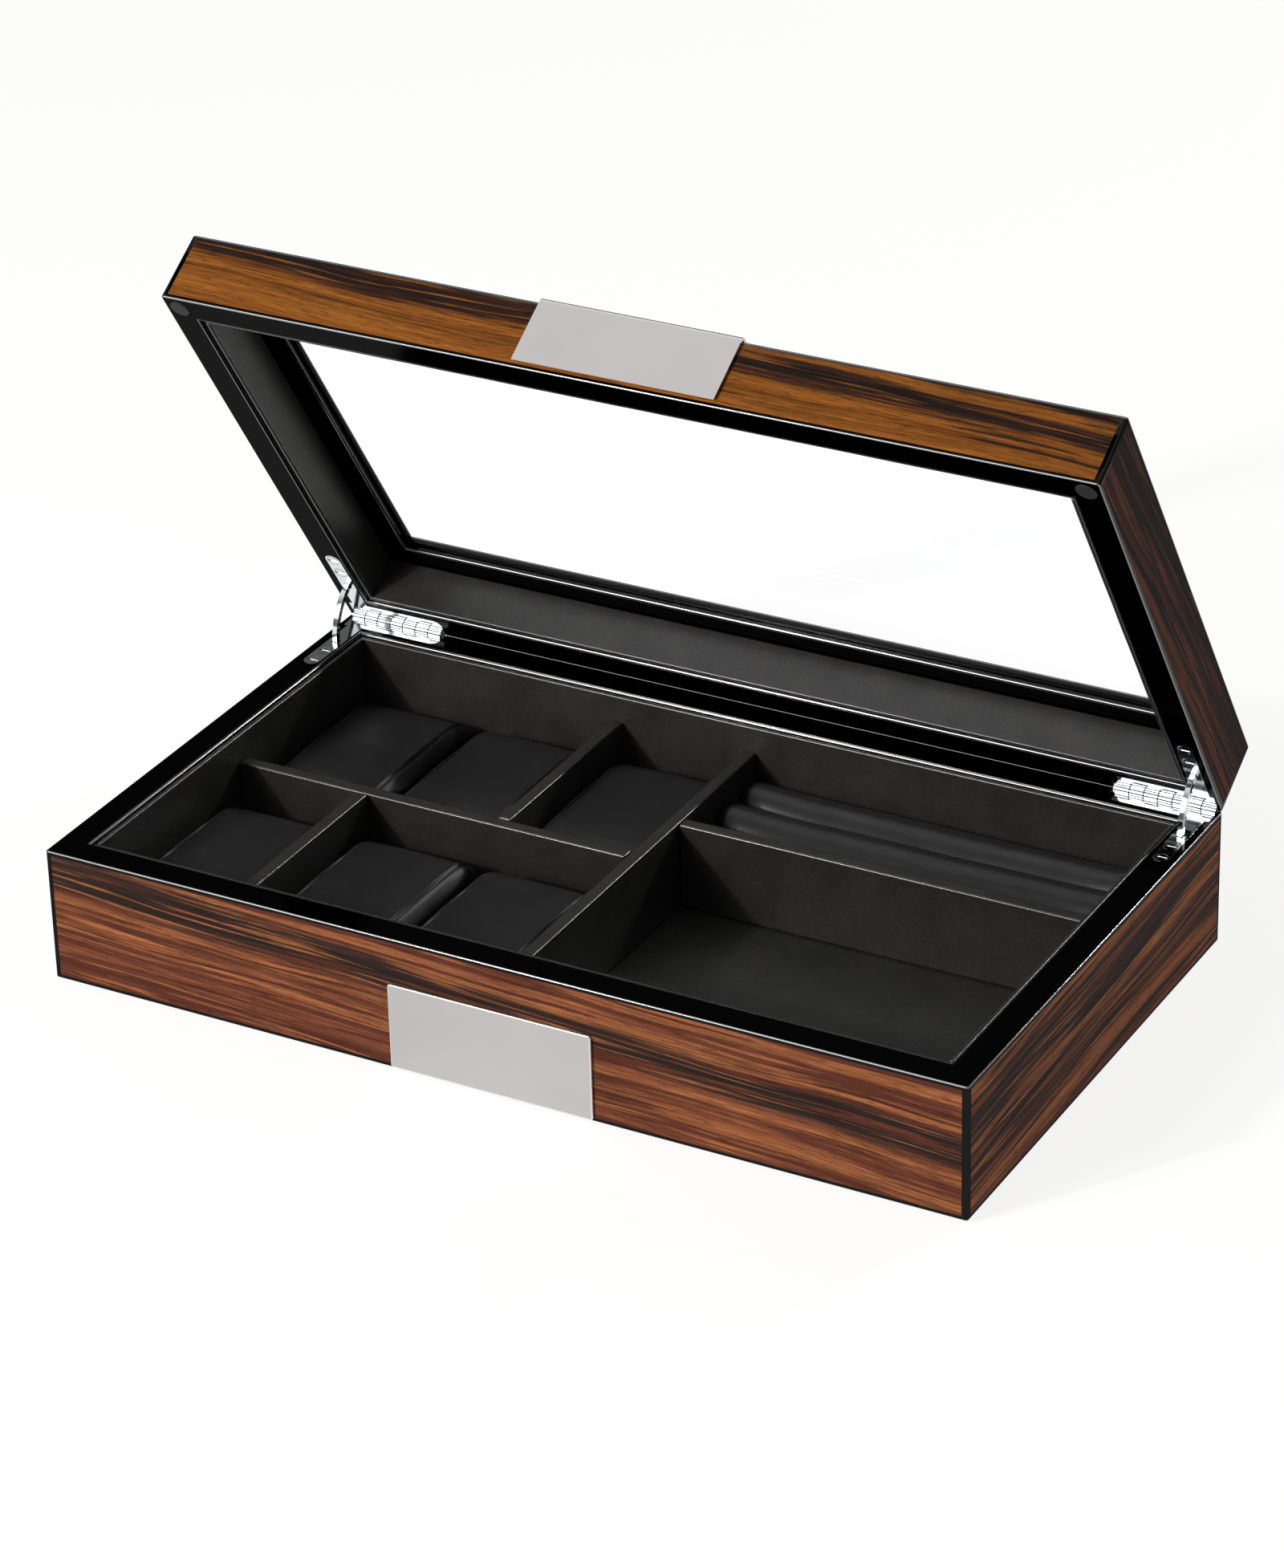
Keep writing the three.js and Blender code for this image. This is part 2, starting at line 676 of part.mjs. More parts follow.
function roll(index) {
  const length = trayRight - trayLeft;
  const ends = [[0, rollEndRound], [rollEndRound / 3, rollEndRound / 3], [rollEndRound, 0]];
  const middles = rollMiddleShares.map((share) => [share * length, 0]);
  const far = ends.map(([distance, inset]) => [length - distance, inset]).reverse();
  const rings = [...ends, ...middles, ...far].map(([distance, inset]) => {
    const sag = rollSag * Math.sin(Math.PI * distance / length);
    return rollOutline(inset).map(({ x: y, y: z }) => (
      new THREE.Vector3(trayLeft + distance, y, z - sag * z / rollHeight)));
  });
  const middle = rollHeight / 2;
  const form = loft(
    rings, new THREE.Vector3(trayLeft, 0, middle), new THREE.Vector3(trayRight, 0, middle));
  return form.translate(0, trayFront + fitGap + rollRadius + index * rollPitch, seatLevel);
}

function basePlate() {
  const [halfX, halfZ] = [basePlateWidth / 2, basePlateHeight / 2];
  const radius = plateCornerRadius;
  const outline = new THREE.Shape();
  outline.absarc(halfX - radius, -halfZ + radius, radius, -Math.PI / 2, 0, false);
  outline.absarc(halfX - radius, halfZ - radius, radius, 0, Math.PI / 2, false);
  outline.absarc(-halfX + radius, halfZ - radius, radius, Math.PI / 2, Math.PI, false);
  outline.absarc(-halfX + radius, -halfZ + radius, radius, Math.PI, Math.PI * 3 / 2, false);
  outline.closePath();
  const back = -boxDepth / 2 - fitGap;
  return alongY(outline, back - plateThickness, back).translate(0, 0, basePlateBottom + halfZ);
}

// The lid's plate is folded over the top edge.
function lidPlate() {
  const back = -boxDepth / 2 - fitGap;
  const under = lidTop + fitGap;
  const inner = lidPlateBend - plateThickness;
  const profile = new THREE.Shape();
  profile.moveTo(back, lidRim + lidPlateDrop);
  profile.absarc(back + inner, under - inner, inner, Math.PI, Math.PI / 2, true);
  profile.lineTo(back + lidPlateLip, under);
  profile.lineTo(back + lidPlateLip, under + plateThickness);
  profile.absarc(back + inner, under - inner, lidPlateBend, Math.PI / 2, Math.PI, false);
  profile.lineTo(back - plateThickness, lidRim + lidPlateDrop);
  profile.closePath();
  return alongX(profile, -lidPlateWidth / 2, lidPlateWidth / 2);
}

// A group that turns about the hinge line by the given angle and holds pieces drawn shut.
function swungGroup(angle) {
  const pivot = new THREE.Group();
  pivot.position.set(0, hingeY, hingeHeight);
  pivot.rotation.x = -angle;
  const shut = new THREE.Group();
  shut.position.set(0, -hingeY, -hingeHeight);
  pivot.add(shut);
  return { pivot, shut };
}

function addPiece(group, name, geometry, material) {
  const mesh = new THREE.Mesh(geometry, material);
  mesh.name = name;
  group.add(mesh);
  return mesh;
}

const box = new THREE.Group();
const base = new THREE.Group();
const lid = swungGroup(lidOpening);
const arms = swungGroup(lidOpening / 2);
box.add(base, lid.pivot, arms.pivot);

['front', 'right', 'back', 'left'].forEach((side, turns) => {
  addPiece(base, `base_${side}_wall`, baseWall(turns), finishes.lacquer);
  const basePanel = cut(sideVeneer(turns, carcassBottom, baseRim, 0), allRecesses(turns, -1));
  const lidPanel = cut(sideVeneer(turns, lidRim, lidTop, 0), allRecesses(turns, 1));
  addPiece(base, `base_${side}_veneer`, basePanel, finishes.baseVeneer);
  addPiece(lid.shut, `lid_${side}_rail`, lidRail(turns), finishes.lacquer);
  addPiece(lid.shut, `lid_${side}_veneer`, lidPanel, finishes.lidVeneer);
});

const panelReach = bottomRebate - fitGap;
const bottomPanel = sheet(wallInnerX + panelReach, wallInnerY + panelReach, carcassBottom, panelTop);
const feltBase = sheet(boxLength / 2 - feltInset, boxDepth / 2 - feltInset, 0, feltThickness);
const floorLiner = sheet(linerInnerX - fitGap, linerInnerY - fitGap, panelTop + fitGap, floorTop);
const baseLiner = liningRing(panelTop + fitGap, baseRim - linerDrop);
const lidLiner = liningRing(lidRim + linerDrop, frameUnderside - fitGap);
addPiece(base, 'bottom_panel', bottomPanel, finishes.lacquer);
addPiece(base, 'felt_base', feltBase, finishes.felt);
addPiece(base, 'base_liner', baseLiner, finishes.leatherette);
addPiece(base, 'floor_liner', floorLiner, finishes.leatherette);
addPiece(base, 'base_plate', basePlate(), finishes.brushedSteel);
for (const [name, make] of Object.entries(dividers)) {
  addPiece(base, name, make(), finishes.leatherette);
}
for (let i = 0; i < rollCount; i += 1) {
  addPiece(base, `tray_roll_${i + 1}`, roll(i), finishes.padding);
}
pillowPlaces.forEach(([row, x, y], i) => {
  const mesh = addPiece(base, `${row}_pillow_${i % pillowsPerRow + 1}`, pillow(), finishes.padding);
  mesh.position.set(x, y, seatLevel);
});

addPiece(lid.shut, 'lid_top_frame', topFrame(), finishes.lacquer);
addPiece(lid.shut, 'lid_top_veneer', topVeneer(0), finishes.lidVeneer);
addPiece(lid.shut, 'window_glass', windowGlass(), finishes.glass);
addPiece(lid.shut, 'glass_bead', glassBead(), finishes.lacquer);
addPiece(lid.shut, 'lid_liner', lidLiner, finishes.leatherette);
addPiece(lid.shut, 'lid_plate', lidPlate(), finishes.brushedSteel);

for (const [hand, sideName] of [[1, 'right'], [-1, 'left']]) {
  addPiece(lid.shut, `${sideName}_bumper`, bumper(hand), finishes.rubber);
  addPiece(lid.shut, `${sideName}_lid_leaf`, hingeLeaf(hand, 1), finishes.chrome);
  addPiece(base, `${sideName}_base_leaf`, hingeLeaf(hand, -1), finishes.chrome);
  addPiece(base, `${sideName}_hinge_pin`, hingePin(hand), finishes.chrome);
  addPiece(arms.shut, `${sideName}_hinge_arm`, hingeArm(hand), finishes.chrome);
  screwReaches.forEach((reach, i) => {
    addPiece(lid.shut, `${sideName}_lid_screw_${i + 1}`, screw(reach, hand, 1), finishes.chrome);
    addPiece(base, `${sideName}_base_screw_${i + 1}`, screw(reach, hand, -1), finishes.chrome);
  });
}

export default box;
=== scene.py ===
import json
import math

import bmesh
import bpy
from mathutils import Matrix, Vector, noise

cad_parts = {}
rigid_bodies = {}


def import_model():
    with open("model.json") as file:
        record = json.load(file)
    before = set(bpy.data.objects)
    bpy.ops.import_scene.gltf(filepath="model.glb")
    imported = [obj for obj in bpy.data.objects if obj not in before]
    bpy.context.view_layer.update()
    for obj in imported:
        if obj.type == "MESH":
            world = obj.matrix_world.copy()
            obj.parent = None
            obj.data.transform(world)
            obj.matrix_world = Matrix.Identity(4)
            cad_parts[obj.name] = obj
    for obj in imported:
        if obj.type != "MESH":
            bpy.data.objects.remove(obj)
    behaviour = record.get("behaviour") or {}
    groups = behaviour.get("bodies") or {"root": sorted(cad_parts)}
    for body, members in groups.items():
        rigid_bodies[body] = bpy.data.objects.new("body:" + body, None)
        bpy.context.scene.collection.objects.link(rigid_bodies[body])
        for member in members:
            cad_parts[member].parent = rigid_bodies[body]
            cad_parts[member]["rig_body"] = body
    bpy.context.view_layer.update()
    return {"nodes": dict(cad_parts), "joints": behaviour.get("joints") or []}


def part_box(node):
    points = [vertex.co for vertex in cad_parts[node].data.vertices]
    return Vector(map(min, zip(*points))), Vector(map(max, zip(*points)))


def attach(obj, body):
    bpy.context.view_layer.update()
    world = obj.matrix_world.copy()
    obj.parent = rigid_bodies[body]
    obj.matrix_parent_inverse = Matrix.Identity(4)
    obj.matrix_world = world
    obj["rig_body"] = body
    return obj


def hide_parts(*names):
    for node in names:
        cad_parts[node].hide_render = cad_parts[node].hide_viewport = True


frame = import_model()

# The camera stands to the right of the box and above its front, two metres off. It has a long
# lens and a slight roll, as the photograph was taken. Lengths are in millimetres times MM.
MM = 0.001
camera_place = Vector((843.6, -1491.2, 992.8)) * MM
camera_target = Vector((-12.2, 28.3, 57.2)) * MM
camera_roll = math.radians(-1.57)
camera = bpy.data.objects.new("camera", bpy.data.cameras.new("camera"))
camera.data.lens = 123.74
camera.data.sensor_width = 36
bpy.context.scene.collection.objects.link(camera)
bpy.context.scene.camera = camera
looking = (camera_place - camera_target).to_track_quat("Z", "Y").to_matrix().to_4x4()
camera.matrix_world = Matrix.Translation(camera_place) @ looking @ Matrix.Rotation(camera_roll, 4, "Z")
bpy.context.scene.view_settings.view_transform = "Standard"

# The studio is a white sweep of floor under a ceiling that is bright overhead and dark near the
# horizon, as polish shows. A big softbox stands to the front left with a small bright lamp
# before it, which draws the thin lines on the edges, and another lamp behind to the right.
floor_size = 14000 * MM
floor_drop = 0.2 * MM
floor_white = "#A8A8A6"
floor_glow = 0.83
floor_bounce = 0.3
sky_light = 0.16
sky_dark = 0.15
sky_bright = 1.3
sky_dark_height = 0.58
sky_bright_height = 0.84
pane_gain = 1.2


def paint(hex_code):
    """An sRGB hex colour as linear red, green, blue and alpha."""
    channels = [int(hex_code[i:i + 2], 16) / 255 for i in (1, 3, 5)]
    return [c / 12.92 if c <= 0.04045 else ((c + 0.055) / 1.055) ** 2.4 for c in channels] + [1]


def add(tree, kind, inputs=(), **settings):
    """Adds a shader node with its settings. Its inputs take values or other nodes' outputs."""
    new = tree.nodes.new("ShaderNode" + kind)
    for name, value in settings.items():
        setattr(new, name, value)
    for socket, value in dict(inputs).items():
        if isinstance(value, bpy.types.NodeSocket):
            tree.links.new(value, new.inputs[socket])
        else:
            new.inputs[socket].default_value = value
    return new


def mesh_of(shape, name):
    """Turns a shape into a mesh, and frees the shape."""
    mesh = bpy.data.meshes.new(name)
    shape.to_mesh(mesh)
    shape.free()
    return mesh


sky = bpy.data.worlds.new("studio_sky")
sky.use_nodes = True
sky.node_tree.nodes.clear()
bpy.context.scene.world = sky
tree = sky.node_tree
ray = add(tree, "LightPath").outputs
height = add(tree, "SeparateXYZ", {0: add(tree, "TexCoord").outputs["Generated"]}).outputs["Z"]
mirrored = add(tree, "MapRange", {
    "Value": height, "From Min": sky_dark_height, "From Max": sky_bright_height,
    "To Min": sky_dark, "To Max": sky_bright}, interpolation_type="SMOOTHSTEP").outputs[0]
bounced = add(tree, "Math", {0: ray["Glossy Depth"], 1: 0.5}, operation="GREATER_THAN").outputs[0]
through = add(tree, "Mix", {"Factor": bounced, 2: pane_gain, 3: mirrored}).outputs[0]
shiny = add(tree, "Mix", {"Factor": ray["Is Glossy Ray"], 2: sky_light, 3: mirrored}).outputs[0]
glazed = add(tree, "Mix", {"Factor": ray["Is Transmission Ray"], 2: shiny, 3: through}).outputs[0]
seen = add(tree, "Mix", {"Factor": ray["Is Camera Ray"], 2: glazed, 3: 1.0}).outputs[0]
background = add(tree, "Background", {"Strength": seen}).outputs[0]
add(tree, "OutputWorld", {"Surface": background})

sweep = bmesh.new()
bmesh.ops.create_grid(sweep, x_segments=1, y_segments=1, size=floor_size / 2)
floor = bpy.data.objects.new("studio_floor", mesh_of(sweep, "studio_floor"))
floor.location.z = -floor_drop
bpy.context.scene.collection.objects.link(floor)
floor_finish = bpy.data.materials.new("studio_floor")
floor_finish.use_nodes = True
floor_finish.cycles.emission_sampling = "NONE"
tree = floor_finish.node_tree
tree.nodes.clear()
ray = add(tree, "LightPath").outputs
seen = add(tree, "Math", {0: ray["Is Camera Ray"], 1: ray["Is Glossy Ray"]}, operation="MAXIMUM").outputs[0]
plain = add(tree, "Mix", {"Factor": seen, 2: floor_bounce, 3: floor_glow}).outputs[0]
glow = add(tree, "Mix", {
    "Factor": ray["Is Transmission Ray"], 2: plain, 3: floor_glow * pane_gain}).outputs[0]
matt = add(tree, "BsdfDiffuse", {"Color": paint(floor_white)}).outputs[0]
lit = add(tree, "AddShader", {0: matt, 1: add(tree, "Emission", {"Strength": glow}).outputs[0]})
add(tree, "OutputMaterial", {"Surface": lit.outputs[0]})
floor.data.materials.append(floor_finish)


def softbox(name, place, aim, width, depth, radiance):
    """A rectangular area lamp at a place in millimetres, as bright as a white of that radiance."""
    lamp = bpy.data.objects.new(name, bpy.data.lights.new(name, "AREA"))
    lamp.data.shape = "RECTANGLE"
    lamp.data.size, lamp.data.size_y = width * MM, depth * MM
    lamp.data.energy = radiance * math.pi * lamp.data.size * lamp.data.size_y
    start, end = Vector(place) * MM, Vector(aim) * MM
    facing = (start - end).to_track_quat("Z", "Y").to_matrix().to_4x4()
    lamp.matrix_world = Matrix.Translation(start) @ facing
    bpy.context.scene.collection.objects.link(lamp)


softbox("front_softbox", (-1040, -1930, 1130), (0, 0, 60), 1000, 1000, 6.5)
softbox("edge_lamp", (-990, -1840, 1080), (0, 0, 60), 90, 90, 560)
softbox("rear_edge_lamp", (900, 1750, 1150), (0, 0, 60), 90, 90, 300)

# Base carcass. Four mitred fibreboard walls, sprayed in black polyester and polished. Their eased edges
# take a copy of the lacquer whose mirror is painted paler, a painted highlight that shows them as thin
# bright lines. They are glued at the mitres.
wall_thickness = 12 * MM
corner_radius = 1.1 * MM
corner_facets = 8
rim_ease = 1.0 * MM
outer_ease = 0.5 * MM
foot_ease = 0.5 * MM
ease_steps = 5
mitre_gap = 0.3 * MM
hinge_gap = 0.04 * MM
near = 0.02 * MM
smooth_angle = math.radians(32)
lacquer_ripple = 2.5 * MM
lacquer_dust = 0.6 * MM

lid_hinge = next(joint for joint in frame["joints"] if joint["name"] == "lid_hinge")
hinge_line = Vector(lid_hinge["pos_m"])
lid_angle = math.radians(-lid_hinge["range_deg"][0])
base_low, base_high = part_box("base_front_wall")
half_x = base_high.x
half_y = -base_low.y
base_rim = base_high.z
base_foot = base_low.z
lid_rim = 2 * hinge_line.z - base_rim
sides = ("front", "right", "back", "left")


def swing(angle):
    """Turns about the hinge line, as the lid opens."""
    to_line = Matrix.Translation(hinge_line)
    return to_line @ Matrix.Rotation(-angle, 4, "X") @ to_line.inverted()


pose_of = {"lid": swing(lid_angle), "right_arm": swing(lid_angle / 2), "left_arm": swing(lid_angle / 2)}


def shut_copy(node_name):
    """A CAD node's shape, drawn with the lid shut, welded and with its flat faces joined."""
    source = frame["nodes"][node_name]
    shape = bmesh.new()
    shape.from_mesh(source.data)
    shape.transform(pose_of.get(source["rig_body"], Matrix()).inverted())
    bmesh.ops.remove_doubles(shape, verts=shape.verts, dist=near / 10)
    bmesh.ops.dissolve_limit(shape, angle_limit=math.radians(1), verts=shape.verts, edges=shape.edges)
    return shape


def ease(shape, chosen, radius, steps=ease_steps, mark=-1):
    """Rounds the edges whose two ends are both chosen. mark 1 gives them a piece's second finish."""
    edges = [e for e in shape.edges if all(chosen(v.co) for v in e.verts) and len(e.link_faces) == 2]
    edges = [e for e in edges if e.calc_face_angle(0) > smooth_angle]
    bmesh.ops.bevel(shape, geom=edges, offset=radius, segments=steps, affect="EDGES", profile=0.5,
                    clamp_overlap=True, material=mark)


def place_piece(name, shape, finish, node_name, pose=None):
    """Makes a piece of a shape. It stands for one CAD node and moves with its body.

    finish is a material, or two: the second is for the faces that the shape marks."""
    bmesh.ops.recalc_face_normals(shape, faces=shape.faces)
    mesh = mesh_of(shape, name)
    piece = bpy.data.objects.new(name, mesh)
    bpy.context.scene.collection.objects.link(piece)
    mesh.shade_smooth()
    mesh.set_sharp_from_angle(angle=smooth_angle)
    flat = piece.modifiers.new("flat_faces_stay_flat", "WEIGHTED_NORMAL")
    flat.keep_sharp = True
    for coat in finish if isinstance(finish, tuple) else (finish,):
        mesh.materials.append(coat)
    body = frame["nodes"][node_name]["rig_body"]
    piece.matrix_world = pose_of.get(body, Matrix()) if pose is None else pose
    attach(piece, body)
    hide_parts(node_name)
    return piece


def inset_of(point):
    """How far a point lies inside the outline of the box in plan."""
    return min(half_x - abs(point.x), half_y - abs(point.y))


def close_mitres(shape):
    """Pushes the mitred ends of a side wall out to meet the front and back walls."""
    for vert in shape.verts:
        short = half_y - abs(vert.co.y) - (half_x - abs(vert.co.x))
        if abs(short - mitre_gap) < near:
            vert.co.y += math.copysign(short, vert.co.y)


def close_hinge_line(shape, rim):
    """Slopes a rim up to the hinge line along the back, where lid and base all but meet."""
    rise = hinge_line.z - rim
    rise -= math.copysign(hinge_gap, rise)
    for vert in shape.verts:
        if abs(vert.co.z - rim) < near:
            vert.co.z += rise * max(0, 1 - (half_y - vert.co.y) / wall_thickness)


def on_hinge_line(point):
    """Whether a point lies where lid and base meet, on the edges that are left crisp."""
    return point.y > half_y - near and abs(point.z - hinge_line.z) < hinge_gap + near


def ease_rim(shape, rim, inset, radius=rim_ease):
    """Rounds the edges that run along a rim at one inset from the box's outline, and gives them the piece's
    second finish, which for lacquer is a paler mirror painted as a highlight.
    """
    slack = near if inset else corner_radius / 2

    def chosen(point):
        level = abs(point.z - rim) < hinge_line.z - base_rim + near
        return level and abs(inset_of(point) - inset) < slack and not on_hinge_line(point)

    ease(shape, chosen, radius, mark=1)


def saw(shape, place, direction, drop_outer=False):
    """Cuts a shape along a plane, and may take away what lies beyond it."""
    return bmesh.ops.bisect_plane(
        shape, geom=shape.verts[:] + shape.edges[:] + shape.faces[:], dist=near / 10,
        plane_co=place, plane_no=direction, clear_outer=drop_outer)


def round_corners(shape):
    """Rounds the upright outer corners of the box with a row of narrow flats."""
    step = math.pi / 2 / corner_facets
    for side_x in (-1, 1):
        for side_y in (-1, 1):
            centre = Vector((side_x * (half_x - corner_radius), side_y * (half_y - corner_radius), 0))
            for i in range(corner_facets):
                angle = (i + 0.5) * step
                out = Vector((side_x * math.cos(angle), side_y * math.sin(angle), 0))
                cut = saw(shape, centre + out * corner_radius * math.cos(step / 2), out, True)
                rim = [e for e in cut["geom_cut"] if isinstance(e, bmesh.types.BMEdge) and e.is_boundary]
                if rim:
                    bmesh.ops.holes_fill(shape, edges=rim, sides=0)
    bmesh.ops.dissolve_degenerate(shape, dist=near, edges=shape.edges)


def start_finish(name, **settings):
    """A material with one Principled shader, whose constants are set on its own sockets."""
    finish = bpy.data.materials.new(name)
    finish.use_nodes = True
    tree = finish.node_tree
    for socket, value in settings.items():
        tree.nodes["Principled BSDF"].inputs[socket.replace("_", " ")].default_value = value
    place = add(tree, "TexCoord").outputs["Object"]
    return finish, tree, place


def end_finish(finish, **outputs):
    """Links what was worked out for a material into its shader's sockets."""
    tree = finish.node_tree
    for socket, output in outputs.items():
        tree.links.new(output, tree.nodes["Principled BSDF"].inputs[socket.replace("_", " ")])
    return finish


def piano_lacquer(name, mirror):
    """Black polyester lacquer, sprayed and buffed: deep black, with a faint ripple in its gloss.

    It is matched as a dark mirror and not as clear gloss over black, because the box shows no pale veil at
    a slant. The copy for the eased edges has its mirror painted paler, a painted highlight that draws them
    as thin bright lines."""
    finish, tree, place = start_finish(
        name, Metallic=1.0, Base_Color=paint(mirror), Specular_Tint=paint("#BABABA"))
    ripple = add(tree, "TexNoise", {"Vector": place, "Scale": 1 / lacquer_ripple, "Detail": 1}).outputs[0]
    bump = add(tree, "Bump", {"Height": ripple, "Strength": 0.25, "Distance": 0.003 * MM}).outputs[0]
    dust = add(tree, "TexNoise", {"Vector": place, "Scale": 1 / lacquer_dust, "Detail": 2}).outputs[0]
    dull = add(tree, "MapRange", {
        "Value": dust, "From Min": 0.3, "From Max": 0.8, "To Min": 0.1, "To Max": 0.16}).outputs[0]
    return end_finish(finish, Roughness=dull, Normal=bump)


def mitred_side(node_name, rim):
    """One side of the base or the lid: mitres closed, corners rounded and rim eased."""
    shape = shut_copy(node_name)
    if "right" in node_name or "left" in node_name:
        close_mitres(shape)
    close_hinge_line(shape, rim)
    round_corners(shape)
    ease_rim(shape, rim, 0, outer_ease)
    ease_rim(shape, rim, wall_thickness)
    return shape


# The second copy goes on the eased edges: its mirror is painted paler, as a painted highlight.
lacquer = (
    piano_lacquer("black_piano_lacquer", "#202020"),
    piano_lacquer("lacquer_edge_painted_paler", "#828282"))
for side in sides:
    wall = mitred_side(f"base_{side}_wall", base_rim)
    ease(wall, lambda p: p.z < base_foot + near and inset_of(p) < corner_radius / 2, foot_ease)
    place_piece(f"base_{side}_wall_lacquered", wall, lacquer, f"base_{side}_wall")

# Veneer panels of the base. Thin striped ebony, laid with the grain along each side between
# narrow lines of the black lacquer, and sealed under clear lacquer.
sway_length = 190
sway_width = 60
sway_reach = 2.4
fringe_length = 34
fringe_width = 1.4
fringe_reach = 1.3
lens_length = 95
lens_width = 2.3
lens_range = (-3.2, 2.2)
glint_length = 60
glint_width = 1.3
glint_range = (-2.4, 1.6)
glint_strength = 0.75
fibre_width = 0.5
# Each layer of fibres has a length, a width, a shift of its pattern, and how dim and bright it is.
fibres = (
    (80, 2.4, 1.1, 0.85, 1.15),
    (38, fibre_width * 2, 5.3, 0.78, 1.24),
    (20, fibre_width, 8.8, 0.72, 1.3))
pore_length = 6
pore_width = 0.3
pore_start = 0.85
pore_darkness = 0.6
panel_joint = 0.28 * MM


def striped_veneer(name, grain, across, tones, figure, span, seed):
    """Macassar ebony veneer: stripes from orange to black, split into fibres, under clear lacquer.

    The fibres are drawn about twice as wide as real ones, so that they show from a step away.
    figure holds the stripes' slope, the stripes as (share across the panel, tone) from low to
    high, and the slope and tone of the thin lenses between them with the shares where they
    set in. Lengths are in millimetres, and span is where the panel starts and ends."""
    finish, tree, place = start_finish(
        name, Roughness=0.5, IOR=1.5, Specular_IOR_Level=0.0, Coat_Weight=0.09, Coat_Roughness=0.05)
    in_mm = add(tree, "VectorMath", {0: place, 1: (1 / MM,) * 3}, operation="MULTIPLY").outputs[0]
    mm = add(tree, "SeparateXYZ", {0: in_mm}).outputs
    along, height = mm[grain], mm[across]

    def lean(level, slope):
        """A height that rises along the grain."""
        return add(tree, "Math", {0: along, 1: -slope, 2: level}, operation="MULTIPLY_ADD").outputs[0]

    def drift(level, length, width, shift, low, high, detail=2):
        """A random value from low to high, in long spots of that length and width."""
        u = add(tree, "Math", {0: along, 1: 1 / length}, operation="MULTIPLY").outputs[0]
        v = add(tree, "Math", {0: level, 1: 1 / width}, operation="MULTIPLY").outputs[0]
        spot = add(tree, "CombineXYZ", {0: u, 1: v, 2: seed + shift}).outputs[0]
        value = add(tree, "TexNoise", {"Vector": spot, "Scale": 1, "Detail": detail}).outputs[0]
        return add(tree, "MapRange", {
            "Value": value, "From Min": 0.3, "From Max": 0.7, "To Min": low, "To Max": high}).outputs[0]

    sway = drift(height, sway_length, sway_width, 0.3, -sway_reach, sway_reach)
    straight = lean(height, figure["slope"])
    fringe = drift(straight, fringe_length, fringe_width, 4.1, -fringe_reach, fringe_reach)
    level = add(tree, "Math", {0: straight, 1: sway}, operation="ADD").outputs[0]
    ragged = add(tree, "Math", {0: level, 1: fringe}, operation="ADD").outputs[0]
    spare = abs(figure["slope"]) * (half_x, half_y)[grain] / MM
    share = add(tree, "MapRange", {
        "Value": ragged, "From Min": span[0] - spare, "From Max": span[1] + spare}).outputs[0]
    bands = add(tree, "ValToRGB", {"Fac": share})
    ramp = bands.color_ramp
    stripes = figure["stripes"]
    ramp.elements[0].color = paint(tones[stripes[0][1]])
    ramp.elements[1].color = paint(tones[stripes[-1][1]])
    for at, tone in stripes[1:-1]:
        ramp.elements.new(at).color = paint(tones[tone])

    lens_slope, lens_tone, lens_low, lens_high = figure["lenses"]
    lens = drift(lean(level, lens_slope), lens_length, lens_width, 7.9, *lens_range)
    within = add(tree, "MapRange", {
        "Value": share, "From Min": lens_low, "From Max": lens_high}).outputs[0]
    lens = add(tree, "Math", {0: lens, 1: within}, operation="MULTIPLY", use_clamp=True).outputs[0]
    glint = drift(level, glint_length, glint_width, 2.9, *glint_range)
    glint = add(tree, "Math", {
        0: glint, 1: glint_strength}, operation="MULTIPLY", use_clamp=True).outputs[0]
    colour = bands.outputs[0]
    for amount, tone in ((glint, "light"), (lens, lens_tone)):
        colour = add(tree, "Mix", {
            "Factor": amount, 6: colour, 7: paint(tones[tone])}, data_type="RGBA").outputs[2]
    for length, width, shift, dim, bright in fibres:
        fibre = drift(level, length, width, shift, dim, bright, 3)
        colour = add(tree, "VectorMath", {0: colour, "Scale": fibre}, operation="SCALE").outputs[0]
    pore = drift(level, pore_length, pore_width, 12.7, 0, 1, 0)
    pore = add(tree, "MapRange", {
        "Value": pore, "From Min": pore_start, "From Max": 1, "To Max": pore_darkness}).outputs[0]
    colour = add(tree, "Mix", {
        "Factor": pore, 6: colour, 7: paint(tones["black"])}, data_type="RGBA").outputs[2]
    bump = add(tree, "Bump", {
        "Height": pore, "Strength": 0.2, "Distance": 0.02 * MM}, invert=True).outputs[0]
    return end_finish(finish, Base_Color=colour, Normal=bump)


def lay_veneer(part, side, wood, tones, figure, span, seed):
    """Lays the veneer of one side, with its grain along the side. Lacquer fills its joint."""
    grain = sides.index(side) % 2
    panel = shut_copy(f"{part}_{side}_veneer")
    for axis in (grain, 2):
        low = min(v.co[axis] for v in panel.verts)
        high = max(v.co[axis] for v in panel.verts)
        for vert in panel.verts:
            if vert.co[axis] < low + near:
                vert.co[axis] -= panel_joint
            elif vert.co[axis] > high - near:
                vert.co[axis] += panel_joint
    finish = striped_veneer(f"{wood}_{side}", grain, 2, tones, figure, span, seed)
    place_piece(f"{part}_{side}_veneer_panel", panel, finish, f"{part}_{side}_veneer")


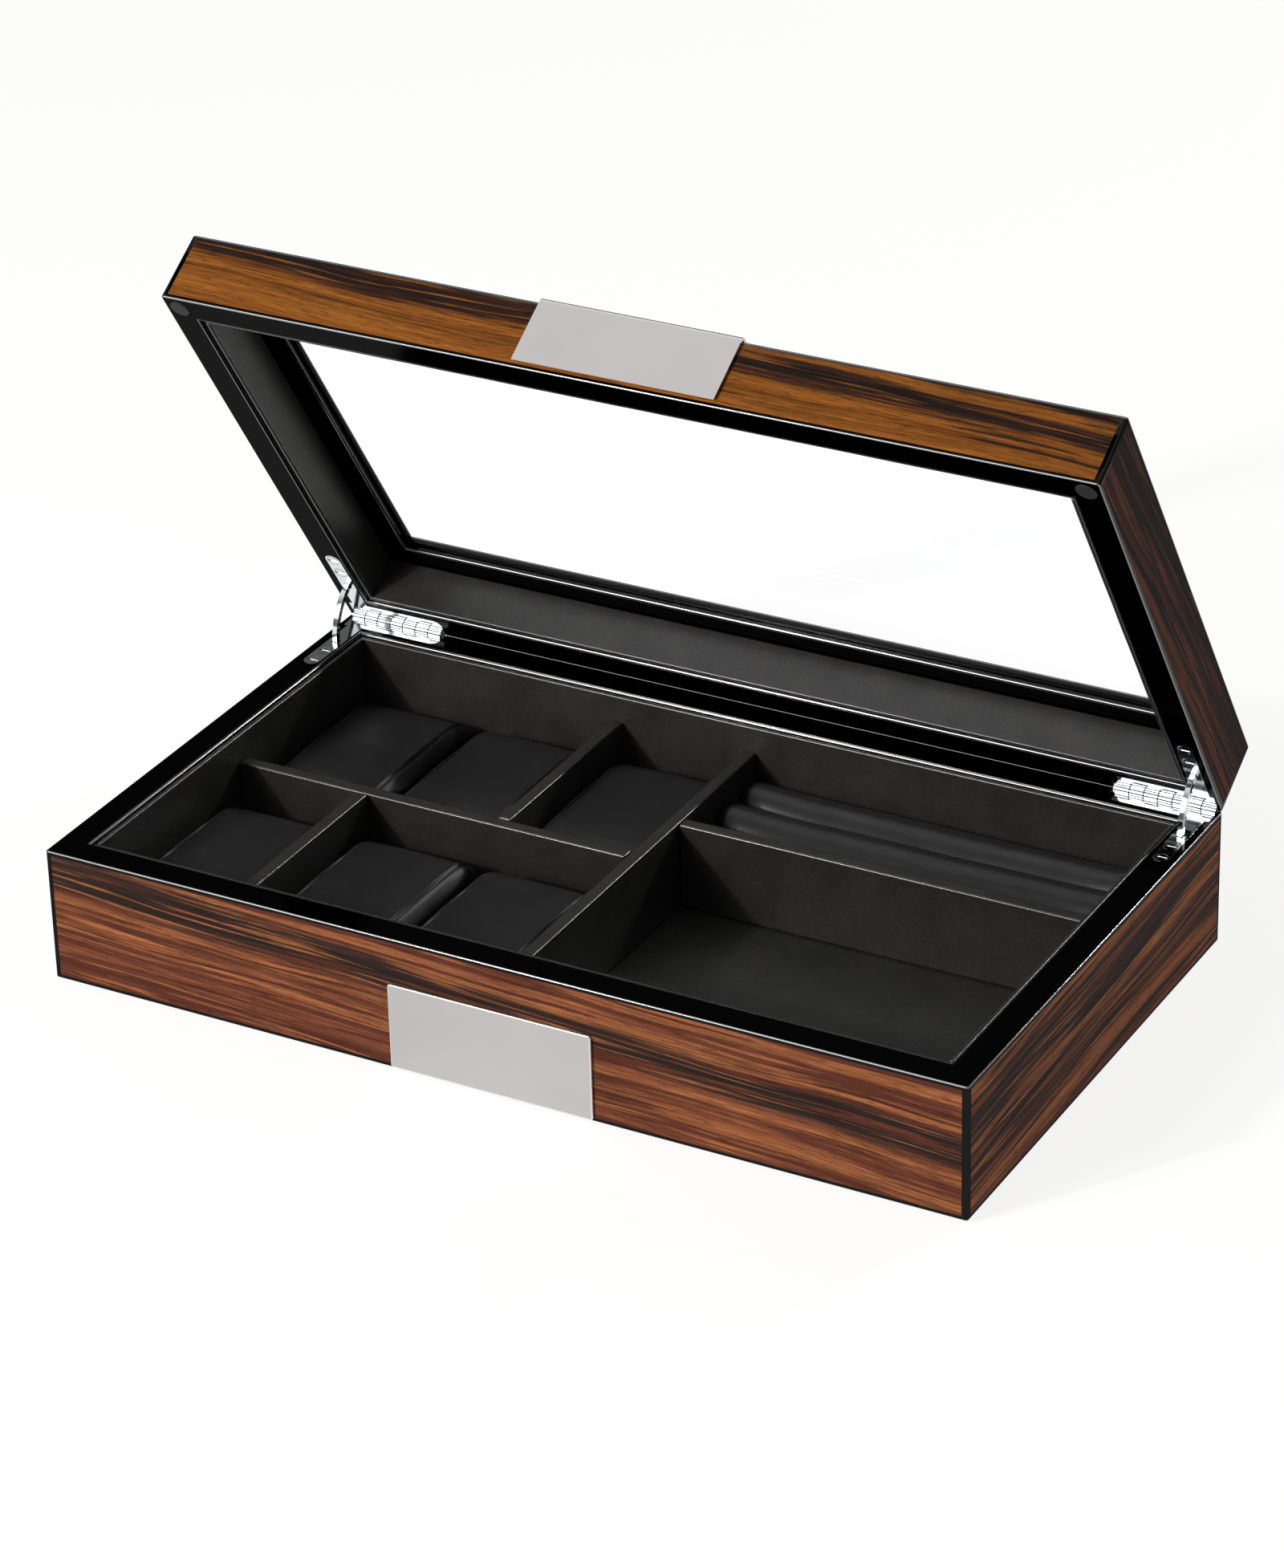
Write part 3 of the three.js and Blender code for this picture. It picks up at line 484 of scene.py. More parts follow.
red_tones = {
    "light": "#B56F45", "mid": "#8C5036", "deep": "#69392B", "dark": "#46302A", "black": "#352925"}
base_figures = {
    "front": {"slope": -0.05, "lenses": (0.02, "deep", 0.1, 0.2), "stripes": [
        (0, "deep"), (0.13, "deep"), (0.2, "mid"), (0.27, "deep"), (0.33, "light"), (0.38, "mid"),
        (0.43, "deep"), (0.47, "light"), (0.51, "mid"), (0.55, "dark"), (0.59, "black"), (0.67, "black"),
        (0.72, "dark"), (0.76, "light"), (0.81, "mid"), (0.86, "deep"), (0.91, "light"), (1, "mid")]},
    "right": {"slope": 0.02, "lenses": (0.03, "black", 0, 0.1), "stripes": [
        (0, "mid"), (0.12, "deep"), (0.2, "light"), (0.28, "deep"), (0.34, "dark"), (0.42, "mid"),
        (0.5, "dark"), (0.56, "light"), (0.62, "black"), (0.74, "dark"), (0.78, "mid"), (0.83, "black"),
        (0.92, "light"), (1, "mid")]},
    "back": {"slope": 0.01, "lenses": (0.02, "dark", 0, 0.2), "stripes": [
        (0, "mid"), (0.15, "dark"), (0.24, "mid"), (0.38, "light"), (0.5, "deep"), (0.6, "black"),
        (0.7, "mid"), (0.85, "light"), (1, "deep")]},
    "left": {"slope": -0.02, "lenses": (-0.03, "black", 0, 0.1), "stripes": [
        (0, "deep"), (0.12, "light"), (0.3, "mid"), (0.42, "black"), (0.5, "dark"), (0.64, "mid"),
        (0.8, "deep"), (0.9, "light"), (1, "mid")]},
}
for turn, side in enumerate(sides):
    lay_veneer(
        "base", side, "red_ebony_veneer", red_tones, base_figures[side],
        (base_foot / MM, base_rim / MM), turn * 7.3)

# Bottom panel and felt. A black sprayed board let into a rebate under the walls, with a sheet
# of flocked felt glued below so that the box doesn't scratch a table.
felt_tuft = 0.5 * MM
felt_ease = 0.3 * MM
board = shut_copy("bottom_panel")
place_piece("bottom_panel_sprayed", board, lacquer, "bottom_panel")


def flocked_felt():
    """Black flock on paper: no gloss, with a soft pile that scatters light at its edges."""
    finish, tree, place = start_finish(
        "black_flocked_felt", Roughness=0.96, Sheen_Weight=0.25, Sheen_Roughness=0.5)
    pile = add(tree, "TexNoise", {"Vector": place, "Scale": 1 / felt_tuft, "Detail": 3}).outputs[0]
    tone = add(tree, "Mix", {
        "Factor": pile, 6: paint("#0E0E0F"), 7: paint("#1C1C1E")}, data_type="RGBA").outputs[2]
    bump = add(tree, "Bump", {"Height": pile, "Strength": 0.5, "Distance": 0.15 * MM}).outputs[0]
    return end_finish(finish, Base_Color=tone, Normal=bump)


felt = shut_copy("felt_base")
ease(felt, lambda p: True, felt_ease, 2)
place_piece("felt_sheet", felt, flocked_felt(), "felt_base")

# Linings and floor. Card boards wrapped in charcoal leatherette, PVC on a cotton backing with
# a fine pressed grain. The wrap is turned over the top edge, which shows as a soft bright line.
leather_grain = 0.75 * MM
leather_mottle = 14 * MM
wrap_radius = 0.65 * MM
wrap_limit = 0.45
wrap_facets = 3
wrap_step = 3.5 * MM
wrap_unevenness = 0.09 * MM
wrap_wave = 17 * MM
corner_slack = 0.35 * MM
liner_thickness = 2 * MM


def leatherette(name, low, high, roughness, gloss):
    """Charcoal PVC leatherette: a fine pebble grain, dull in its valleys, and slightly mottled.

    Where it is pulled tight over an edge, the grain is flattened and it shines more."""
    finish, tree, place = start_finish(name, IOR=1.45, Specular_IOR_Level=gloss)
    cells = add(tree, "TexVoronoi", {
        "Vector": place, "Scale": 1 / leather_grain, "Smoothness": 0.6}, feature="SMOOTH_F1")
    fine = add(tree, "TexNoise", {"Vector": place, "Scale": 2.6 / leather_grain, "Detail": 3})
    rough = add(tree, "Math", {0: fine.outputs[0], 1: 0.6}, operation="MULTIPLY").outputs[0]
    pebble = add(tree, "Math", {0: cells.outputs["Distance"], 1: rough}, operation="ADD").outputs[0]
    mottle = add(tree, "TexNoise", {"Vector": place, "Scale": 1 / leather_mottle, "Detail": 4}).outputs[0]
    both = add(tree, "Math", {0: pebble, 1: mottle}, operation="MULTIPLY").outputs[0]
    share = add(tree, "MapRange", {"Value": both, "From Min": 0.12, "From Max": 0.62}).outputs[0]
    tone = add(tree, "Mix", {
        "Factor": share, 6: paint(low), 7: paint(high)}, data_type="RGBA").outputs[2]
    shine = add(tree, "MapRange", {
        "Value": pebble, "From Max": 1.2, "To Min": roughness + 0.08, "To Max": roughness - 0.1}).outputs[0]
    bump = add(tree, "Bump", {"Height": pebble, "Strength": 0.35, "Distance": 0.06 * MM}).outputs[0]
    return end_finish(finish, Base_Color=tone, Roughness=shine, Normal=bump)


def wrapped_board(low, high, seed, radius=wrap_radius):
    """A board wrapped in thin leatherette: rounded edges and a surface that isn't quite flat."""
    board = bmesh.new()
    size = high - low
    middle = Matrix.Translation((low + high) / 2)
    bmesh.ops.create_cube(board, size=1, matrix=middle @ Matrix.Diagonal(size.to_4d()))
    fold = min(radius, min(size) * wrap_limit)
    folded = bmesh.ops.bevel(
        board, geom=board.edges[:], offset=fold, segments=wrap_facets, affect="EDGES", profile=0.5)
    for face in folded["faces"]:
        face.material_index = 1
    longest = max(range(3), key=lambda axis: size[axis])
    direction = Vector([float(axis == longest) for axis in range(3)])
    for i in range(1, int(size[longest] / wrap_step)):
        saw(board, low + direction * wrap_step * i, direction)
    board.normal_update()
    for vert in board.verts:
        wave = noise.noise(vert.co / wrap_wave + Vector((seed, 0, 0)))
        vert.co -= vert.normal * wrap_unevenness * (0.5 + wave)
    return board


def merge(shapes):
    """Puts several closed shapes into one mesh."""
    whole = bmesh.new()
    for shape in shapes:
        part = mesh_of(shape, "part")
        whole.from_mesh(part)
        bpy.data.meshes.remove(part)
    return whole


def lining_boards(reach_x, reach_y, bottom, top, seed):
    """Four boards round the inside of a frame. Those of the long sides run past the short ones."""
    inner_y = reach_y - liner_thickness - corner_slack
    boards = []
    for hand in (-1, 1):
        near_y, far_y = sorted((hand * reach_y, hand * (reach_y - liner_thickness)))
        near_x, far_x = sorted((hand * reach_x, hand * (reach_x - liner_thickness)))
        boards.append(wrapped_board(
            Vector((-reach_x, near_y, bottom)), Vector((reach_x, far_y, top)), seed + hand))
        boards.append(wrapped_board(
            Vector((near_x, -inner_y, bottom)), Vector((far_x, inner_y, top)), seed + hand + 5))
    return merge(boards)


lining_finish = (
    leatherette("charcoal_leatherette", "#272625", "#3A3837", 0.48, 0.5),
    leatherette("charcoal_leatherette_pulled_tight", "#272625", "#3A3837", 0.27, 1.0))
liner_low, liner_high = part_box("base_liner")
base_lining = lining_boards(liner_high.x, liner_high.y, liner_low.z, liner_high.z, 1)
place_piece("base_lining_boards", base_lining, lining_finish, "base_liner")
frame["nodes"]["floor_liner"].data.materials.clear()
frame["nodes"]["floor_liner"].data.materials.append(lining_finish[0])

# Dividers. Boards wrapped like the lining and pushed between its walls, lower than the rim.
# Their sharp top edges shine where the leatherette is pulled tight.
divider_radius = 0.8 * MM
divider_finish = (
    leatherette("divider_leatherette", "#242322", "#363433", 0.48, 0.5),
    leatherette("divider_leatherette_pulled_tight", "#242322", "#363433", 0.25, 1.0))
dividers = ("long_divider", "row_divider", "back_cell_divider", "front_cell_divider", "tray_divider")
for i, divider in enumerate(dividers):
    low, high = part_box(divider)
    board = wrapped_board(low, high, 11 + i, divider_radius)
    place_piece(f"{divider}_wrapped", board, divider_finish, divider)

# Pillows. Six foam loaves in soft black leatherette: one strip is wrapped round front, top and
# back, and sewn to a padded roll at either side, so that a dark seam runs along it. They lift out.
pillow_stations = 20
pillow_ring = 96
bend_steps = 12
side_steps = 5
side_rings = 7
cloth_grow = 10
crown = 2.6 * MM
side_round = 2.6 * MM
side_slack = 0.7 * MM
seam_inset = 4.4 * MM
seam_depth = 1.8 * MM
seam_width = 2.2 * MM
seam_cuts = 6
side_smoothing = 9
shoulder_radius = 17 * MM
heel_radius = 7 * MM
cloth_frames = 18
cloth_reach = 1.1 * MM
pillow_pressure = 2.6
tightness = 0.005
pillow_creep = 0.2 * MM
pillow_wave = 21 * MM
padding_grain = 0.6 * MM
padding_haze = 9 * MM


def loaf_outline(half_length, height, inset, count):
    """Points round the side view of a pillow, evenly spaced and clockwise from its front foot."""
    corners = [
        (-1, 0, heel_radius, -90), (-1, 1, shoulder_radius, 180),
        (1, 1, shoulder_radius, 90), (1, 0, heel_radius, 0)]
    path = []
    for side_y, top, radius, start in corners:
        bend = radius - inset
        y = side_y * (half_length - radius)
        z = height - radius if top else radius
        for i in range(bend_steps + 1):
            angle = math.radians(start) - math.radians(90) * i / bend_steps
            path.append(Vector((0, y + bend * math.cos(angle), z + bend * math.sin(angle))))
    return respaced(path, count)


def respaced(path, count):
    """The points of a closed path moved to equal steps along it."""
    lengths = [(path[(i + 1) % len(path)] - point).length for i, point in enumerate(path)]
    step = sum(lengths) / count
    points, index, done = [], 0, 0.0
    for i in range(count):
        while done + lengths[index] < i * step:
            done += lengths[index]
            index += 1
        share = (i * step - done) / max(lengths[index], near)
        points.append(path[index].lerp(path[(index + 1) % len(path)], share))
    return points


def loft(rings, start_middle, end_middle):
    """A closed shape through rings of points, and the numbers of each ring's vertices."""
    shape = bmesh.new()
    rows = [[shape.verts.new(point) for point in ring] for ring in rings]
    for first, second in zip(rows, rows[1:]):
        for corners in zip(first, first[1:] + first[:1], second[1:] + second[:1], second):
            shape.faces.new(corners)
    for row, middle in ((rows[0], start_middle), (rows[-1], end_middle)):
        tip = shape.verts.new(middle)
        for vert, following in zip(row, row[1:] + row[:1]):
            shape.faces.new((vert, following, tip))
    bmesh.ops.recalc_face_normals(shape, faces=shape.faces)
    shape.verts.index_update()
    return shape, [[vert.index for vert in row] for row in rows]


def sewn_loaf(half_width, half_length, height):
    """The pillow's skin before it is stuffed. Its two seams are returned to be held."""
    reach = half_width - side_slack
    seam = half_width - seam_inset
    turns = [math.pi / 2 * i / side_steps for i in range(side_steps + 1)]
    side = [(reach - side_round * (1 - math.cos(t)), side_round * (1 - math.sin(t))) for t in turns]
    middles = [(seam - 2 * seam * i / pillow_stations, 0) for i in range(pillow_stations + 1)]
    stations = side + middles + [(-x, inset) for x, inset in reversed(side)]
    rings = []
    for x, inset in stations:
        rise = crown * (1 - (x / half_width) ** 2)
        ring = []
        for point in loaf_outline(half_length, height - crown, inset, pillow_ring):
            lift = rise * point.z / height * (1 - (point.y / half_length) ** 2)
            ring.append(Vector((x, point.y, point.z + lift)))
        rings.append(ring)
    shares = [(i + 1) / (side_rings + 1) for i in range(side_rings)]
    tips = [Vector((hand * reach, 0, height / 2)) for hand in (1, -1)]
    right = [[tips[0].lerp(point, share) for point in rings[0]] for share in shares]
    left = [[tips[1].lerp(point, share) for point in rings[-1]] for share in reversed(shares)]
    shape, rows = loft(right + rings + left, *tips)
    first_seam = side_rings + len(side)
    return shape, rows[first_seam] + rows[first_seam + pillow_stations]


def stuffed(shape, held, pressure):
    """Blows a skin up gently as cloth, held along its seams, and returns the settled shape.

    The skin is grown tenfold for the simulation, because cloth settles badly at this size."""
    start = [vert.co.copy() for vert in shape.verts]
    mesh = mesh_of(shape, "skin")
    mesh.transform(Matrix.Scale(cloth_grow, 4))
    skin = bpy.data.objects.new("skin", mesh)
    bpy.context.scene.collection.objects.link(skin)
    skin.vertex_groups.new(name="seams").add(held, 1, "REPLACE")
    cloth = skin.modifiers.new("stuffing", "CLOTH")
    cloth.settings.quality = 5
    cloth.settings.mass = 0.25
    cloth.settings.air_damping = 4
    cloth.settings.tension_stiffness = cloth.settings.compression_stiffness = 22
    cloth.settings.shear_stiffness = 9
    cloth.settings.bending_stiffness = 1.2
    cloth.settings.shrink_min = tightness
    cloth.settings.use_pressure = True
    cloth.settings.uniform_pressure_force = pressure
    cloth.settings.vertex_group_mass = "seams"
    cloth.settings.effector_weights.gravity = 0
    cloth.point_cache.frame_start = 1
    cloth.point_cache.frame_end = cloth_frames
    for step in range(1, cloth_frames + 1):
        bpy.context.scene.frame_set(step)
    settled = skin.evaluated_get(bpy.context.evaluated_depsgraph_get())
    blown = bmesh.new()
    blown.from_mesh(settled.to_mesh())
    blown.transform(Matrix.Scale(1 / cloth_grow, 4))
    for vert, place in zip(blown.verts, start):
        shift = vert.co - place
        if shift.length > cloth_reach:
            vert.co = place + shift.normalized() * cloth_reach
        vert.co.z = max(vert.co.z, 0)
    settled.to_mesh_clear()
    bpy.context.scene.frame_set(1)
    bpy.data.objects.remove(skin)
    return blown


def soft_leatherette(name, low, high, roughness):
    """Thin black leatherette over foam: a very fine grain and a low, even gloss."""
    finish, tree, place = start_finish(name, Roughness=roughness, IOR=1.45, Specular_IOR_Level=0.4)
    cells = add(tree, "TexVoronoi", {
        "Vector": place, "Scale": 1 / padding_grain}, feature="SMOOTH_F1").outputs["Distance"]
    haze = add(tree, "TexNoise", {"Vector": place, "Scale": 1 / padding_haze, "Detail": 5}).outputs[0]
    share = add(tree, "MapRange", {"Value": haze, "From Min": 0.3, "From Max": 0.7}).outputs[0]
    tone = add(tree, "Mix", {
        "Factor": share, 6: paint(low), 7: paint(high)}, data_type="RGBA").outputs[2]
    bump = add(tree, "Bump", {"Height": cells, "Strength": 0.22, "Distance": 0.05 * MM}).outputs[0]
    return end_finish(finish, Base_Color=tone, Normal=bump)


def sew(skin, seam, height):
    """Draws the skin in along its two seams, in a narrow channel."""
    for hand in (-1, 1):
        for i in range(seam_cuts + 1):
            offset = seam_width * (i / seam_cuts - 0.5)
            saw(skin, (hand * (seam + offset), 0, 0), (1, 0, 0))
    for vert in skin.verts:
        from_seam = abs(abs(vert.co.x) - seam) / (seam_width / 2)
        if from_seam < 1:
            middle = Vector((vert.co.x, 0, height / 2))
            pull = seam_depth * (0.5 + 0.5 * math.cos(math.pi * from_seam))
            vert.co -= (vert.co - middle).normalized() * pull


def place_padding(name, form, finish, turn, creep, wave, shift, above):
    """Places one of a row of like pads, every other one turned round, and uneven above a height."""
    low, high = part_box(name)
    foot = Vector(((low.x + high.x) / 2, (low.y + high.y) / 2, low.z))
    shape = bmesh.new()
    shape.from_mesh(form)
    shape.normal_update()
    for vert in shape.verts:
        if vert.co.z > above:
            vert.co += vert.normal * creep * noise.noise(vert.co / wave + shift)
    turned = Matrix.Translation(foot) @ Matrix.Rotation(math.pi * (turn % 2), 4, "Z")
    pad = place_piece(f"{name}_stuffed", shape, finish, name, pose=turned)


padding_finish = soft_leatherette("soft_black_leatherette", "#141414", "#1D1D1D", 0.42)
low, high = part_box("back_pillow_1")
pillow_size = high - low
half_width = pillow_size.x / 2
half_length = pillow_size.y / 2
loaf, seams = sewn_loaf(half_width, half_length, pillow_size.z)
pillow_skin = stuffed(loaf, seams, pillow_pressure)
side_skin = [vert for vert in pillow_skin.verts if abs(vert.co.x) > half_width - seam_inset + near]
for i in range(side_smoothing):
    bmesh.ops.smooth_vert(
        pillow_skin, verts=side_skin, factor=0.5, use_axis_x=True, use_axis_y=True, use_axis_z=True)
bmesh.ops.subdivide_edges(pillow_skin, edges=pillow_skin.edges[:], cuts=1, use_grid_fill=True)
sew(pillow_skin, half_width - seam_inset, pillow_size.z)
for vert in pillow_skin.verts:
    vert.co.x = max(-half_width, min(half_width, vert.co.x))
pillow_mesh = mesh_of(pillow_skin, "pillow")
for i, name in enumerate([f"{row}_pillow_{k}" for row in ("back", "front") for k in (1, 2, 3)]):
    place_padding(
        name, pillow_mesh, padding_finish, i, pillow_creep, pillow_wave, Vector((i * 3.1, 0, 0)),
        heel_radius)

# Tray rolls. Three bars of foam in the same soft leatherette, a little glossier and with its colour painted
# lighter as painted light, packed side by side in the tray.
# Small things are pushed into the grooves between them. Their ends are tucked in and rounded.
roll_stations = 56
roll_ring = 48
flank_steps = 8
dome_steps = 24
end_steps = 7
tuck_shares = (0.72, 0.44, 0.2)
roll_end = 4.2 * MM
roll_foot_draw = 1.4 * MM
roll_spare = 0.35 * MM
roll_wave = 26 * MM
roll_pressure = 1.6


def roll_section(radius, height, count):
    """Points round a roll: a round top on straight flanks that draw in at the foot."""
    centre = height - radius
    foot = radius - roll_foot_draw
    path = [Vector((0, -foot, 0))]
    for i in range(1, flank_steps):
        draw = roll_foot_draw * math.sin(math.pi / 2 * i / flank_steps)
        path.append(Vector((0, -foot - draw, centre * i / flank_steps)))
    turns = [math.pi - math.pi * i / dome_steps for i in range(dome_steps + 1)]
    path += [Vector((0, radius * math.cos(t), centre + radius * math.sin(t))) for t in turns]
    path += [Vector((0, -p.y, p.z)) for p in path[flank_steps - 1:0:-1]]
    path.append(Vector((0, foot, 0)))
    return respaced(path, count)


def roll_skin(half_length, radius, height):
    """A roll's skin before it is stuffed, along X, with a round edge at either end."""
    section = roll_section(radius, height, roll_ring)
    middle = Vector((0, 0, height / 2))
    inner = half_length - roll_end
    turns = [math.pi / 2 * i / end_steps for i in range(end_steps, -1, -1)]
    ends = [(inner + roll_end * math.sin(t), roll_end * (1 - math.cos(t))) for t in turns]
    middles = [(-inner + 2 * inner * i / roll_stations, 0) for i in range(1, roll_stations)]
    rings = []
    for x, inset in [(-x, inset) for x, inset in ends] + middles + ends[::-1]:
        ring = []
        for point in section:
            offset = point - middle
            share = 1 - inset / max(offset.length, roll_end)
            ring.append(Vector((x, 0, 0)) + middle + offset * share)
        rings.append(ring)
    tip = Vector((half_length, 0, 0))
    start, end = middle - tip, middle + tip
    first = [[start + (p - start) * share for p in rings[0]] for share in reversed(tuck_shares)]
    last = [[end + (p - end) * share for p in rings[-1]] for share in tuck_shares]
    shape, rows = loft(first + rings + last, start, end)
    return shape, rows[len(first) - 1] + rows[-len(last)]


low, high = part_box("tray_roll_1")
roll_size = high - low
roll_radius = roll_size.y / 2 - roll_spare
roll, held = roll_skin(roll_size.x / 2, roll_radius, roll_size.z)
roll_mesh = mesh_of(stuffed(roll, held, roll_pressure), "roll")
# The rolls' copy of the leatherette is a little glossier, and its colour is painted lighter than the
# pillows', as painted light.
roll_finish_painted_lighter = soft_leatherette("satin_black_leatherette_painted_lighter", "#1A1A1B", "#252526", 0.36)
for i in range(1, 4):
    place_padding(
        f"tray_roll_{i}", roll_mesh, roll_finish_painted_lighter, i, roll_spare / 2, roll_wave,
        Vector((0, i * 4.7, 0)), -near)

# Base plate. A millimetre of stainless steel, brushed along its length and stuck on over the veneer. It is
# bare, and its edges are ground round, smoother than its face, with their steel painted paler as a painted
# highlight.
brush_length = 26 * MM
brush_width = 0.16 * MM
brush_cloud = 30 * MM
plate_bevel = 0.5 * MM
plate_steps = 4


def brushed_steel(name, low, high, roughness):
    """Stainless steel drawn over a fine belt: satin, with faint hair lines along its length."""
    finish, tree, place = start_finish(name, Metallic=1.0, Anisotropic=0.5)
    across = 1 / brush_width
    stretched = add(tree, "VectorMath", {
        0: place, 1: (1 / brush_length, across, across)}, operation="MULTIPLY").outputs[0]
    hair = add(tree, "TexNoise", {"Vector": stretched, "Scale": 1, "Detail": 2}).outputs[0]
    cloud = add(tree, "TexNoise", {"Vector": place, "Scale": 1 / brush_cloud, "Detail": 2}).outputs[0]
    both = add(tree, "Mix", {"Factor": 0.5, 2: hair, 3: cloud}).outputs[0]
    tone = add(tree, "Mix", {
        "Factor": both, 6: paint(low), 7: paint(high)}, data_type="RGBA").outputs[2]
    dull = add(tree, "MapRange", {
        "Value": hair, "From Min": 0.3, "From Max": 0.7,
        "To Min": roughness, "To Max": roughness + 0.1}).outputs[0]
    bump = add(tree, "Bump", {"Height": hair, "Strength": 0.12, "Distance": 0.02 * MM}).outputs[0]
    return end_finish(finish, Base_Color=tone, Roughness=dull, Normal=bump)


# The ground edge steel is smoother than the brushed face, and its colour is painted paler, a painted
# highlight for the bright line along the edges.
ground_edge_painted_paler = brushed_steel("ground_steel_edge_painted_paler", "#DCDAD9", "#E6E4E3", 0.2)
plate_steel = (brushed_steel("brushed_stainless_steel", "#BDBAB9", "#CDCAC9", 0.38), ground_edge_painted_paler)
plate = shut_copy("base_plate")
plate_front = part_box("base_plate")[0].y
ease(plate, lambda p: p.y < plate_front + near, plate_bevel, plate_steps, mark=1)
place_piece("base_plate_brushed", plate, plate_steel, "base_plate")

# Lid frame. Four mitred rails under a top board with the window cut in it, all in the same
# black lacquer, and a thin bead that holds the glass from inside.
rail_gap = 0.3 * MM
top_board = shut_copy("lid_top_frame")
lid_top = max(v.co.z for v in top_board.verts)
frame_under = min(v.co.z for v in top_board.verts)
window_inset = max(inset_of(v.co) for v in top_board.verts)
for side in sides:
    rail = mitred_side(f"lid_{side}_rail", lid_rim)
    for vert in rail.verts:
        if abs(vert.co.z - (frame_under - rail_gap)) < near:
            vert.co.z = frame_under
    place_piece(f"lid_{side}_rail_lacquered", rail, lacquer, f"lid_{side}_rail")
round_corners(top_board)
ease_rim(top_board, lid_top, 0)
ease_rim(top_board, lid_top, window_inset)
place_piece("lid_top_board_lacquered", top_board, lacquer, "lid_top_frame")
bead = shut_copy("glass_bead")
bead_under = min(v.co.z for v in bead.verts)
ease_rim(bead, bead_under, window_inset)
place_piece("glass_bead_lacquered", bead, lacquer, "glass_bead")

# Veneer panels of the lid. The same ebony from a paler, golden part of the log, with broad black stripes.
# The sides are in a darker set of tones.
gold_tones = {
    "light": "#B06A2A", "mid": "#92541F", "deep": "#6E3D1D", "dark": "#432A20", "black": "#2B1F1C"}
darker_side_tones = {
    "light": "#74402A", "mid": "#56301F", "deep": "#42281F", "dark": "#30211C", "black": "#221917"}
lid_figures = {
    "front": {"slope": -0.03, "lenses": (0.01, "dark", 0.25, 0.45), "stripes": [
        (0, "mid"), (0.2, "light"), (0.3, "light"), (0.42, "mid"), (0.5, "light"), (0.55, "mid"),
        (0.6, "dark"), (0.65, "black"), (0.73, "black"), (0.77, "dark"), (0.81, "light"), (0.87, "light"),
        (0.92, "black"), (1, "black")]},
    "right": {"slope": 0.02, "lenses": (0.03, "black", 0, 0.2), "stripes": [
        (0, "deep"), (0.14, "mid"), (0.24, "light"), (0.34, "deep"), (0.46, "mid"), (0.55, "dark"),
        (0.7, "deep"), (0.78, "black"), (1, "dark")]},
    "back": {"slope": 0.015, "lenses": (0.02, "dark", 0, 0.3), "stripes": [
        (0, "mid"), (0.2, "dark"), (0.34, "light"), (0.6, "mid"), (0.75, "black"), (0.9, "deep"),
        (1, "mid")]},
    "left": {"slope": -0.02, "lenses": (-0.02, "black", 0, 0.2), "stripes": [
        (0, "dark"), (0.2, "mid"), (0.4, "deep"), (0.55, "black"), (0.7, "mid"), (0.85, "light"),
        (1, "deep")]},
}
for turn, side in enumerate(sides):
    tones = darker_side_tones if turn % 2 else gold_tones
    lay_veneer(
        "lid", side, "lid_ebony_veneer", tones, lid_figures[side],
        (lid_rim / MM, lid_top / MM), 31 + turn * 5.9)
top_figure = {"slope": 0.01, "lenses": (-0.02, "dark", 0, 0.1), "stripes": [
    (0, "mid"), (0.1, "deep"), (0.18, "black"), (0.25, "mid"), (0.36, "light"), (0.46, "dark"),
    (0.55, "mid"), (0.64, "light"), (0.72, "black"), (0.8, "deep"), (0.9, "light"), (1, "mid")]}
top_finish = striped_veneer(
    "lid_ebony_veneer_top", 0, 1, gold_tones, top_figure, (-half_y / MM, half_y / MM), 57.3)
top_panel = shut_copy("lid_top_veneer")
place_piece("lid_top_veneer_panel", top_panel, top_finish, "lid_top_veneer")

# Window. A pane of three millimetre float glass, bedded in the rebate of the top board. Its
# edges are hidden, and its faces are clean.
pane_arris = 0.3 * MM
pane_smear = 60 * MM


def float_glass():
    """Clear float glass: smooth on both faces, with a touch of green in its thickness.

    It mirrors less than plain glass does, because the window shows no mirror image at a slant."""
    finish, tree, place = start_finish(
        "clear_float_glass", Roughness=0.0, IOR=1.25, Specular_IOR_Level=0.3, Transmission_Weight=1.0)
    smear = add(tree, "TexNoise", {"Vector": place, "Scale": 1 / pane_smear, "Detail": 4}).outputs[0]
    tone = add(tree, "Mix", {
        "Factor": smear, 6: paint("#FCFEFD"), 7: paint("#FFFFFF")}, data_type="RGBA").outputs[2]
    return end_finish(finish, Base_Color=tone)


pane = shut_copy("window_glass")
ease(pane, lambda p: True, pane_arris, 1)
window = place_piece("window_pane", pane, float_glass(), "window_glass")
window.visible_shadow = False
window.visible_diffuse = False

# Lid lining. The same card boards in charcoal leatherette as in the base, glued round the inside
# of the rails. Their turned edges stop short of the rim and shine along it.
lid_liner = shut_copy("lid_liner")
reach_x, reach_y, liner_top = (max(v.co[axis] for v in lid_liner.verts) for axis in range(3))
liner_bottom = min(v.co.z for v in lid_liner.verts)
lid_liner.free()
lid_lining = lining_boards(reach_x, reach_y, liner_bottom, liner_top, 21)
place_piece("lid_lining_boards", lid_lining, lining_finish, "lid_liner")

# Lid plate. The same steel, its colour painted a shade lighter than the base plate's as painted light, bent
# over the top front edge and stuck on as a finger lift. Its bend takes the paler ground edge steel, a
# painted highlight.
lift_steel_painted_lighter = (brushed_steel("brushed_stainless_steel_lift_painted_lighter", "#CAC7C6", "#DAD7D6", 0.38), ground_edge_painted_paler)
lid_plate = shut_copy("lid_plate")
lid_plate.normal_update()
# The faces of the bend take the ground edge steel, painted paler as a highlight.
for face in lid_plate.faces:
    face.material_index = int(min(abs(face.normal.y), abs(face.normal.z)) > near)
place_piece("lid_plate_brushed", lid_plate, lift_steel_painted_lighter, "lid_plate")

